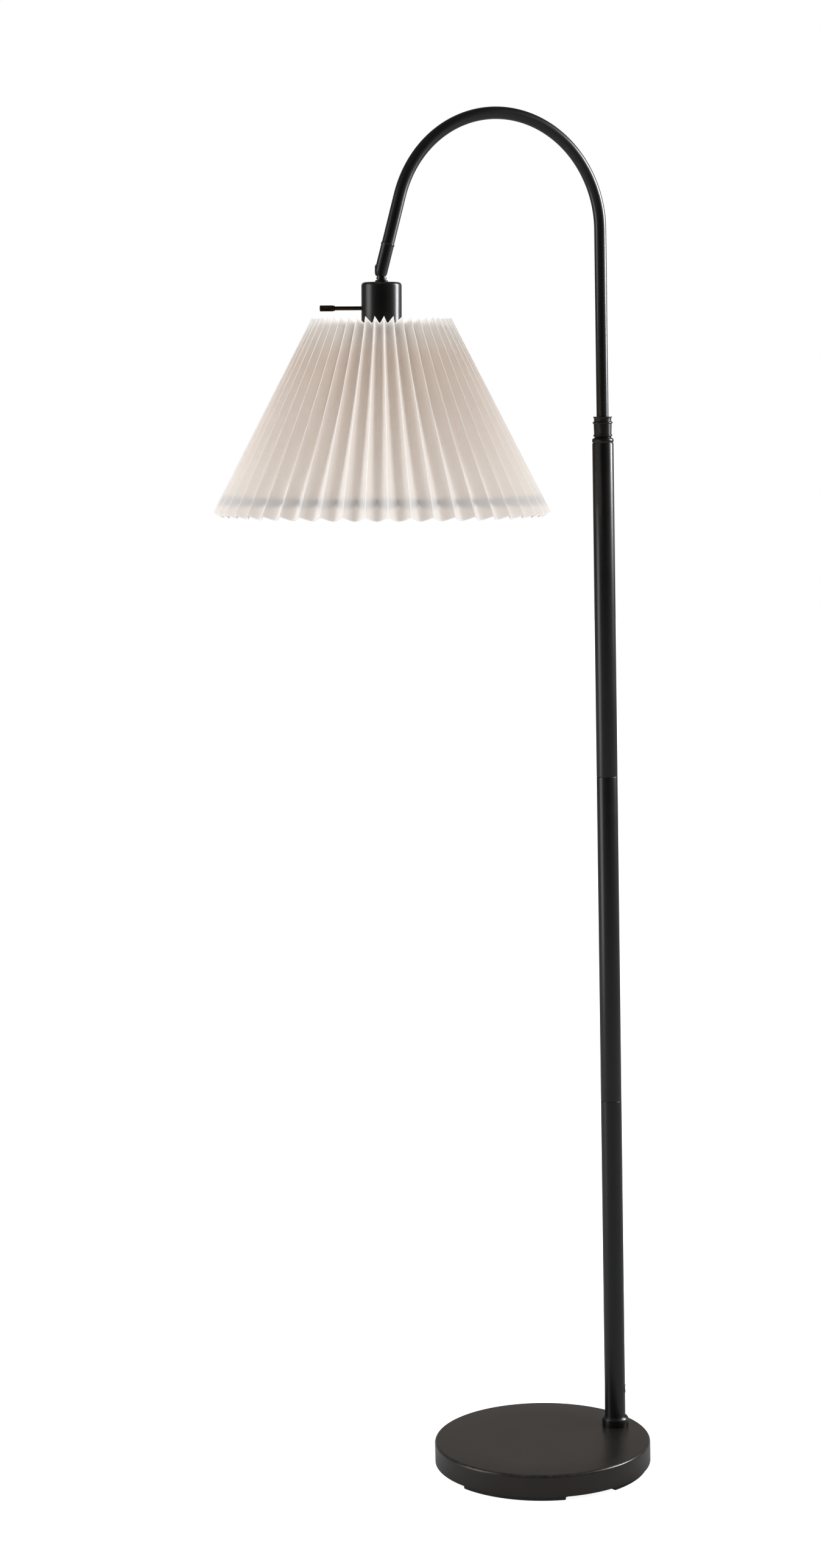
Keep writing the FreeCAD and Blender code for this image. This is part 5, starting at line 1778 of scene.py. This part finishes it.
@dataclass
class PleatedShade:
    """The pleated linen shade on its two rings, hung from the holder by a fluted nut."""

    shop: Shop
    place: Place
    pleats: int = 48
    panel: float = 16.0
    cloth: float = 0.6
    top_radius: float = 80.2
    bottom_radius: float = 194.8
    top_drop: float = 54.9
    height: float = 221.0
    trough: float = 0.3
    waver: float = 0.2
    seed: float = 4.0
    ring_gap: float = 0.25
    tape_thickness: float = 0.5
    tape_width: float = 9.0
    wire: float = 1.6
    thread: float = 0.26
    bottom_ring_rise: float = 21.0
    fitter_drop: float = 72.0
    fitter_thickness: float = 1.5
    nut_radius: float = 22.4
    nut_bore: float = 19.8
    nut_height: float = 8.0
    nut_flutes: int = 24
    flute_depth: float = 0.62

    @property
    def slope(self) -> float:
        """The cone's slope away from upright, in radians."""
        return math.atan2(self.bottom_radius - self.top_radius, self.height)

    def depth_at(self, ridge_radius: float) -> float:
        """How deep a pleat folds where its creases lie at a radius.

        Args:
            ridge_radius: The radius at which the creases lie.

        Returns:
            The measure in millimetres.
        """
        bow = 4.0 * math.sin(math.pi / self.pleats / 2.0) ** 2 * ridge_radius
        lean = bow * math.cos(self.slope)
        return (lean + math.sqrt(lean**2 - 4.0 * (bow * ridge_radius - self.panel**2))) / 2.0

    def fold_end(self, ridge: float, level: float) -> tuple[float, float]:
        """The innermost point of a fold at an edge of the cloth, as radius and height.

        Args:
            ridge: The radius of the creases there.
            level: The edge's height.

        Returns:
            The radius and the height.
        """
        skin = self.cloth * self.panel / (ridge * math.pi / self.pleats)
        sink = self.depth_at(ridge) + skin
        return ridge - sink * math.cos(self.slope), level - sink * math.sin(self.slope)

    @property
    def fold_ends(self) -> tuple[tuple[float, float], tuple[float, float]]:
        """The innermost points of a fold at the cloth's top and bottom edges."""
        top = self.fold_end(self.top_radius, -self.top_drop)
        return top, self.fold_end(self.bottom_radius, -self.top_drop - self.height)

    def inner_fold(self, height: float) -> float:
        """How far the innermost folds stand from the axis, at a height below the pivot."""
        (top_radius, top), (low_radius, low) = self.fold_ends
        return top_radius + (height - top) / (low - top) * (low_radius - top_radius)

    @property
    def cloth_length(self) -> float:
        """The cloth's length down the slope."""
        return self.height / math.cos(self.slope)

    def cloth_width(self) -> float:
        """The cloth's length round all its folds, measured half way down.

        Returns:
            The measure in millimetres.
        """
        ridge = (self.top_radius + self.bottom_radius) / 2.0
        depth = (self.depth_at(self.top_radius) + self.depth_at(self.bottom_radius)) / 2.0
        soft_full = math.sqrt(1.0 + self.trough**2) - self.trough
        points = []
        for step in range(201):
            out = step / 200.0
            soft = (math.sqrt(out**2 + self.trough**2) - self.trough) / soft_full
            sink = depth * (1.0 - soft)
            radius = ridge - sink * math.cos(self.slope)
            angle = math.pi / self.pleats * out
            across, along = radius * math.cos(angle), radius * math.sin(angle)
            points.append(Vector((across, along, -sink * math.sin(self.slope))))
        panel = sum((after - before).length for before, after in zip(points, points[1:]))
        return panel * 2.0 * self.pleats

    def fabric(self) -> bpy.types.Object:
        """The folded cloth, given its thickness and softly broken edges.

        Returns:
            The piece, not yet handed in.
        """
        mesh = pleat_recipe().run(
            LINEN,
            Top_Radius=self.top_radius,
            Bottom_Radius=self.bottom_radius,
            Top_Drop=self.top_drop,
            Height=self.height,
            Top_Depth=self.depth_at(self.top_radius),
            Bottom_Depth=self.depth_at(self.bottom_radius),
            Slope=self.slope,
            Trough=self.trough,
            Waver=self.waver,
            Seed=self.seed,
            Cloth_Width=self.cloth_width(),
            Cloth_Length=self.cloth_length,
            Pleats=self.pleats,
            Steps=20,
            Rows=26,
        )
        mesh.transform(self.place.matrix())
        even = {"use_even_offset": True, "use_quality_normals": True}
        mesh = modified(mesh, "SOLIDIFY", thickness=self.cloth * MM, offset=-1.0, **even)
        return mesh_object("shade_pleated_cloth", mesh, LINEN, 50.0)

    def wire_ring(self, name: str, radius: float, height: float) -> bpy.types.Object:
        """A round wire bent into a ring about the axis.

        Args:
            name: The ring's name.
            radius: The ring's middle radius.
            height: Its height below the pivot, as a negative number.

        Returns:
            The piece, not yet handed in.
        """
        angles = [FULL_TURN * step / 16 for step in range(16)]
        outline = [
            (radius + self.wire * math.cos(angle), height + self.wire * math.sin(angle), 0.0)
            for angle in angles
        ]
        return mesh_object(name, turned_mesh(outline, 160, self.place), WHITE_WIRE)

    def ring_radius(self, height: float) -> float:
        """The middle radius of a wire ring inside its tape."""
        tape = self.inner_fold(height) - self.ring_gap
        return tape - (self.tape_thickness + self.ring_gap + self.wire) / math.cos(self.slope)

    def tape(self, name: str, height: float) -> bpy.types.Object:
        """A flat tape round the inside of the folds.

        Args:
            name: The tape's name.
            height: Its height below the pivot, as a negative number.

        Returns:
            The piece, not yet handed in.
        """
        half = self.tape_width / 2.0 * math.cos(self.slope)
        thick = self.tape_thickness / math.cos(self.slope)
        low, high = height - half, height + half
        outer_low = self.inner_fold(low) - self.ring_gap
        outer_high = self.inner_fold(high) - self.ring_gap
        sides = ((outer_low - thick, low), (outer_low, low), (outer_high, high))
        corners = [(*side, 0.12) for side in (*sides, (outer_high - thick, high))]
        return turned(name, RING_TAPE, self.place, 192, corners, steps=2)

    def ring_nut(self) -> bpy.types.Object:
        """The fluted nut under the fitter ring.

        Returns:
            The piece, not yet handed in.
        """
        high = -self.fitter_drop - self.fitter_thickness
        low = high - self.nut_height
        corners = [
            (self.nut_bore, low, 0.3),
            (self.nut_radius, low, 1.0),
            *[(self.nut_radius, low + 1.6 + step, 0.0) for step in range(6)],
            (self.nut_radius, high, 0.2),
            (self.nut_bore, high, 0.0),
        ]
        mesh = ribbed_recipe().run(
            NUT_PLASTIC,
            turned_mesh(rounded(corners), self.nut_flutes * 10),
            Ribs=self.nut_flutes,
            Depth=self.flute_depth,
            Low=low,
            High=high,
            Fade=0.8,
            Inner=self.nut_bore + 0.8,
            Sharpness=5.0,
        )
        mesh.transform(self.place.matrix())
        return mesh_object("shade_fluted_nut", mesh, NUT_PLASTIC)

    def tacks(self, height: float) -> bpy.types.Object:
        """The thread loops that tie the bottom ring at every inner fold.

        Args:
            height: Its height below the pivot, as a negative number.

        Returns:
            The piece, not yet handed in.
        """
        mesh = tack_recipe().run(
            THREAD,
            Ring_Radius=self.ring_radius(height),
            Ring_Height=height,
            First_Turn=math.pi / self.pleats,
            Loop_Radius=self.wire + 0.28,
            Thread_Radius=self.thread,
            Tacks=self.pleats,
        )
        mesh.transform(self.place.matrix())
        return mesh_object("shade_ring_tacks", mesh, THREAD, 60.0)

    def build(self) -> None:
        shop, body = self.shop, Body.HEAD
        top = -self.fitter_drop - self.fitter_thickness / 2.0
        bottom = self.fold_ends[1][1] + self.bottom_ring_rise
        fabric = shop.hand_in(self.fabric(), body, "shade_linen", "shade_fabric")
        top_tape = self.tape("shade_top_band", top)
        bottom_tape = self.tape("shade_bottom_band", bottom)
        shop.hand_in(top_tape, body, "ring_tape", "shade_top_tape")
        shop.hand_in(bottom_tape, body, "ring_tape", "shade_bottom_tape")
        ring = self.wire_ring("shade_mouth_ring", self.ring_radius(bottom), bottom)
        shop.hand_in(ring, body, "frame_white", "shade_bottom_ring")
        tacks = shop.hand_in(self.tacks(bottom), body, "shade_linen")
        frame = ("shade_frame", "shade_wire_carrier")
        carrier = shop.soften(*frame, WHITE_WIRE, 0.0, body, "frame_white")
        shop.hand_in(self.ring_nut(), body, "ring_nut_plastic", "shade_ring_nut")
        self.cloth_width() * MM


@dataclass
class GlobeBulb:
    """The unlit opal bulb in the holder."""

    shop: Shop
    place: Place
    tip_top: float = -62.45
    length: float = 108.0
    cap_radius: float = 13.1
    cap_depth: float = 26.6
    collar_length: float = 27.0
    collar_radius: float = 26.5
    globe_radius: float = 30.0

    def collar(self) -> bpy.types.Object:
        """The plastic body that flares from the screw cap to the globe.

        Returns:
            The piece, not yet handed in.
        """
        high = self.tip_top - self.cap_depth
        low = high - self.collar_length
        corners = [
            (0.0, high, 0.0),
            (self.cap_radius + 0.1, high, 0.4),
            (self.cap_radius + 1.2, high - 3.0, 1.5),
            (self.collar_radius * 0.78, high - 14.0, 8.0),
            (self.collar_radius, low + 3.0, 1.0),
            (self.collar_radius, low, 0.5),
            (0.0, low, 0.0),
        ]
        return turned("bulb_flared_body", BULB_PLASTIC, self.place, 128, corners)

    def globe(self) -> bpy.types.Object:
        """The opal globe, closed at the bottom by its full round.

        Returns:
            The piece, not yet handed in.
        """
        top = self.tip_top - self.cap_depth - self.collar_length
        full = self.globe_radius
        centre = self.tip_top - self.length + full
        shoulder = self.collar_radius - 0.4
        corners: list[Corner] = [(0.0, top, 0.0), (shoulder, top, 0.0)]
        for share in (step / 10.0 for step in range(1, 10)):
            swell = math.sin(share * math.pi / 2.0)
            radius = shoulder + (full - shoulder) * swell
            corners.append((radius, top + (centre - top) * share, 0.0))
        for angle in (math.pi / 2.0 * step / 24 for step in range(24)):
            corners.append((full * math.cos(angle), centre - full * math.sin(angle), 0.0))
        corners.append((0.0, centre - full, 0.0))
        return turned("bulb_opal_globe", BULB_OPAL, self.place, 128, corners)

    def build(self) -> None:
        """Makes and hands in the bulb's pieces."""
        shop = self.shop
        shop.hand_in(self.collar(), Body.HEAD, "bulb_plastic", "bulb_collar")
        shop.hand_in(self.globe(), Body.HEAD, "bulb_diffuser", "bulb_globe")
        shop.dress(NICKEL, "bulb_screw_cap", "bulb_tip")
        shop.dress(INSULATOR, "bulb_insulator")


# ---------------------------------------------------------------- the studio
@dataclass(frozen=True)
class SoftBox:
    """One large soft light that looks at the lamp from the studio's edge.

    It stands turn_deg round from the camera, to the camera's right, with its middle at height,
    in metres. It either shines for glossy parts to mirror, or lights the matt ones.
    """

    name: str
    turn_deg: float
    height: float
    size: tuple[float, float]
    power: float
    shines: bool
    colour: Colour


COOL: Colour = (0.87, 0.94, 1.0)
PLAIN: Colour = (0.97, 0.98, 1.0)
BOXES = (
    SoftBox("box_left", -74.0, 1.2, (1.2, 2.6), 34.0, True, PLAIN),
    SoftBox("box_right", 104.0, 2.0, (0.6, 1.4), 120.0, True, PLAIN),
    SoftBox("fill_right", 78.0, 2.6, (1.4, 1.4), 60.0, False, COOL),
    SoftBox("fill_left", -78.0, 2.6, (1.4, 1.4), 60.0, False, COOL),
)


@dataclass
class Studio:
    """A pale floor, a white room, soft boxes and the camera."""

    pole: Vector
    camera_distance: float = 3.6283
    camera_height: float = 1.3085
    camera_turn: float = 0.4992
    yaw: float = -0.0655
    pitch: float = 0.1287
    roll: float = -0.0211
    lens: float = 69.38
    room_light: float = 0.87
    mirrored_left: float = 0.14
    mirrored_right: float = 0.10
    mirrored_back: float = 0.31
    floor_size: float = 24.0
    floor_drop: float = 0.0005
    box_distance: float = 2.5

    def camera(self) -> None:
        """The camera: it stands round the pole, looks a little down and leans a little."""
        data = bpy.data.cameras.new("camera")
        data.sensor_width = 36.0
        data.lens = self.lens
        data.clip_start = 0.05
        camera = linked("camera", data)
        level = math.cos(self.pitch)
        ahead = (math.sin(self.yaw) * level, math.cos(self.yaw) * level, -math.sin(self.pitch))
        forward = Vector(ahead)
        right = Vector((math.cos(self.yaw), -math.sin(self.yaw), 0.0))
        up = right.cross(forward)
        right_rolled = right * math.cos(self.roll) + up * math.sin(self.roll)
        up_rolled = up * math.cos(self.roll) - right * math.sin(self.roll)
        axes = Matrix((right_rolled, up_rolled, -forward)).transposed().to_4x4()
        round_pole = Matrix.Rotation(-self.camera_turn, 4, "Z")
        stand = Matrix.Translation(Vector((0.0, -self.camera_distance, self.camera_height)))
        camera.matrix_world = Matrix.Translation(self.pole) @ round_pole @ stand @ axes
        bpy.context.scene.camera = camera

    def soft_box(self, box: SoftBox) -> None:
        """Sets up one soft light.

        Args:
            box: The light's place, size and power.
        """
        data = bpy.data.lights.new(box.name, "AREA")
        data.shape = "RECTANGLE"
        data.size, data.size_y = box.size
        data.energy = box.power
        data.color = box.colour
        light = linked(box.name, data)
        turn = Matrix.Rotation(math.radians(box.turn_deg) - self.camera_turn, 4, "Z")
        away = turn @ Vector((0.0, -self.box_distance, 0.0))
        target = Vector((-0.05, 0.0, box.height * 0.5 + 0.5))
        spot = Vector((-0.05, 0.0, box.height)) + away
        aim = (target - spot).to_track_quat("-Z", "Y").to_matrix().to_4x4()
        light.matrix_world = Matrix.Translation(spot) @ aim
        light.visible_glossy = box.shines
        light.visible_diffuse = light.visible_transmission = not box.shines

    def room(self) -> None:
        """A white surround, which glossy parts see as grey with a dark gap in front.

        Sampling is off, since rays aimed at the surround don't count as glossy ones.
        """
        world = bpy.data.worlds.new("room")
        bench = Bench.cleared(world)
        seen = bench.use("ShaderNodeLightPath", "Is Camera Ray")
        glossy = bench.use("ShaderNodeLightPath", "Is Glossy Ray")
        x, y, _ = bench.parts(bench.use("ShaderNodeTexCoord", "Generated"))
        front = x * -math.sin(self.camera_turn) - y * math.cos(self.camera_turn)
        side = x * math.cos(self.camera_turn) - y * math.sin(self.camera_turn)
        open_sides = bench.ramp(front, 0.985, 0.75) * 0.985 + 0.015
        sides = (self.mirrored_left, self.mirrored_right)
        level = bench.between(bench.ramp(side, -0.4, 0.4), *sides)
        behind = bench.ramp(front, -0.55, -0.95)
        mirrored = bench.between(behind, level, self.mirrored_back) * open_sides
        strength = bench.between(glossy, self.room_light, mirrored)
        tint = bench.blend(glossy, (1.0, 0.99, 0.985), (1.0, 0.945, 0.89))
        light = bench.use(
            "ShaderNodeBackground",
            Color=bench.blend(seen, tint, WHITE),
            Strength=bench.between(seen, strength, 1.0),
        )
        bench.feed(bench.node("ShaderNodeOutputWorld").inputs["Surface"], light)
        world.cycles.sampling_method = "NONE"
        bpy.context.scene.world = world

    def floor(self) -> None:
        """The plain pale floor, lifted almost to the room's white."""
        material = bpy.data.materials.new("pale_floor")
        bench = Bench.cleared(material)
        seen = bench.use("ShaderNodeLightPath", "Is Camera Ray")
        glossy = bench.use("ShaderNodeLightPath", "Is Glossy Ray")
        surface = bench.principled(
            Base_Color=bench.blend(glossy, (0.55, 0.55, 0.545), (0.36, 0.36, 0.36)),
            Roughness=0.85,
            Specular_IOR_Level=0.1,
            Emission_Color=WHITE,
            Emission_Strength=seen * 0.9,
        )
        bench.feed(bench.node("ShaderNodeOutputMaterial").inputs["Surface"], surface)
        half, drop = self.floor_size / 2.0, -self.floor_drop
        signs = ((-1, -1), (1, -1), (1, 1), (-1, 1))
        corners = [(half * x, half * y, drop) for x, y in signs]
        mesh = bpy.data.meshes.new("studio_floor")
        mesh.from_pydata(corners, [], [(0, 1, 2, 3)])
        mesh.materials.append(material)
        linked("studio_floor", mesh)

    def build(self) -> None:
        """Sets the studio up."""
        self.camera()
        self.room()
        self.floor()
        for box in BOXES:
            self.soft_box(box)
        view = bpy.context.scene.view_settings
        view.view_transform = "Standard"
        view.look = "None"


def main() -> None:
    """Builds the lamp round its frame, dresses it and sets up the studio."""
    logging.basicConfig(level=logging.INFO, format="%(name)s: %(message)s")
    for item in list(bpy.data.objects):
        bpy.data.objects.remove(item)
    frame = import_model()
    shop = Shop(frame)
    pivot = Vector(shop.joints["head_tilt"]["pos_m"]) / MM
    head = Place(pivot, lean_deg=1.2)
    base = WeightedBase(shop)
    pole = ThreePartPole(shop, base_top=base.top)
    Studio(pole=Vector((pole.offset * MM, 0.0, 0.0))).build()
    arm = ArchedArm(shop, pole_offset=pole.offset, pole_top=pole.top)
    hung = (kind(shop, head) for kind in (LampHolder, RotarySwitch, PleatedShade, GlobeBulb))
    for assembly in (base, pole, arm, *hung):
        assembly.build()


if __name__ == "__main__":
    main()
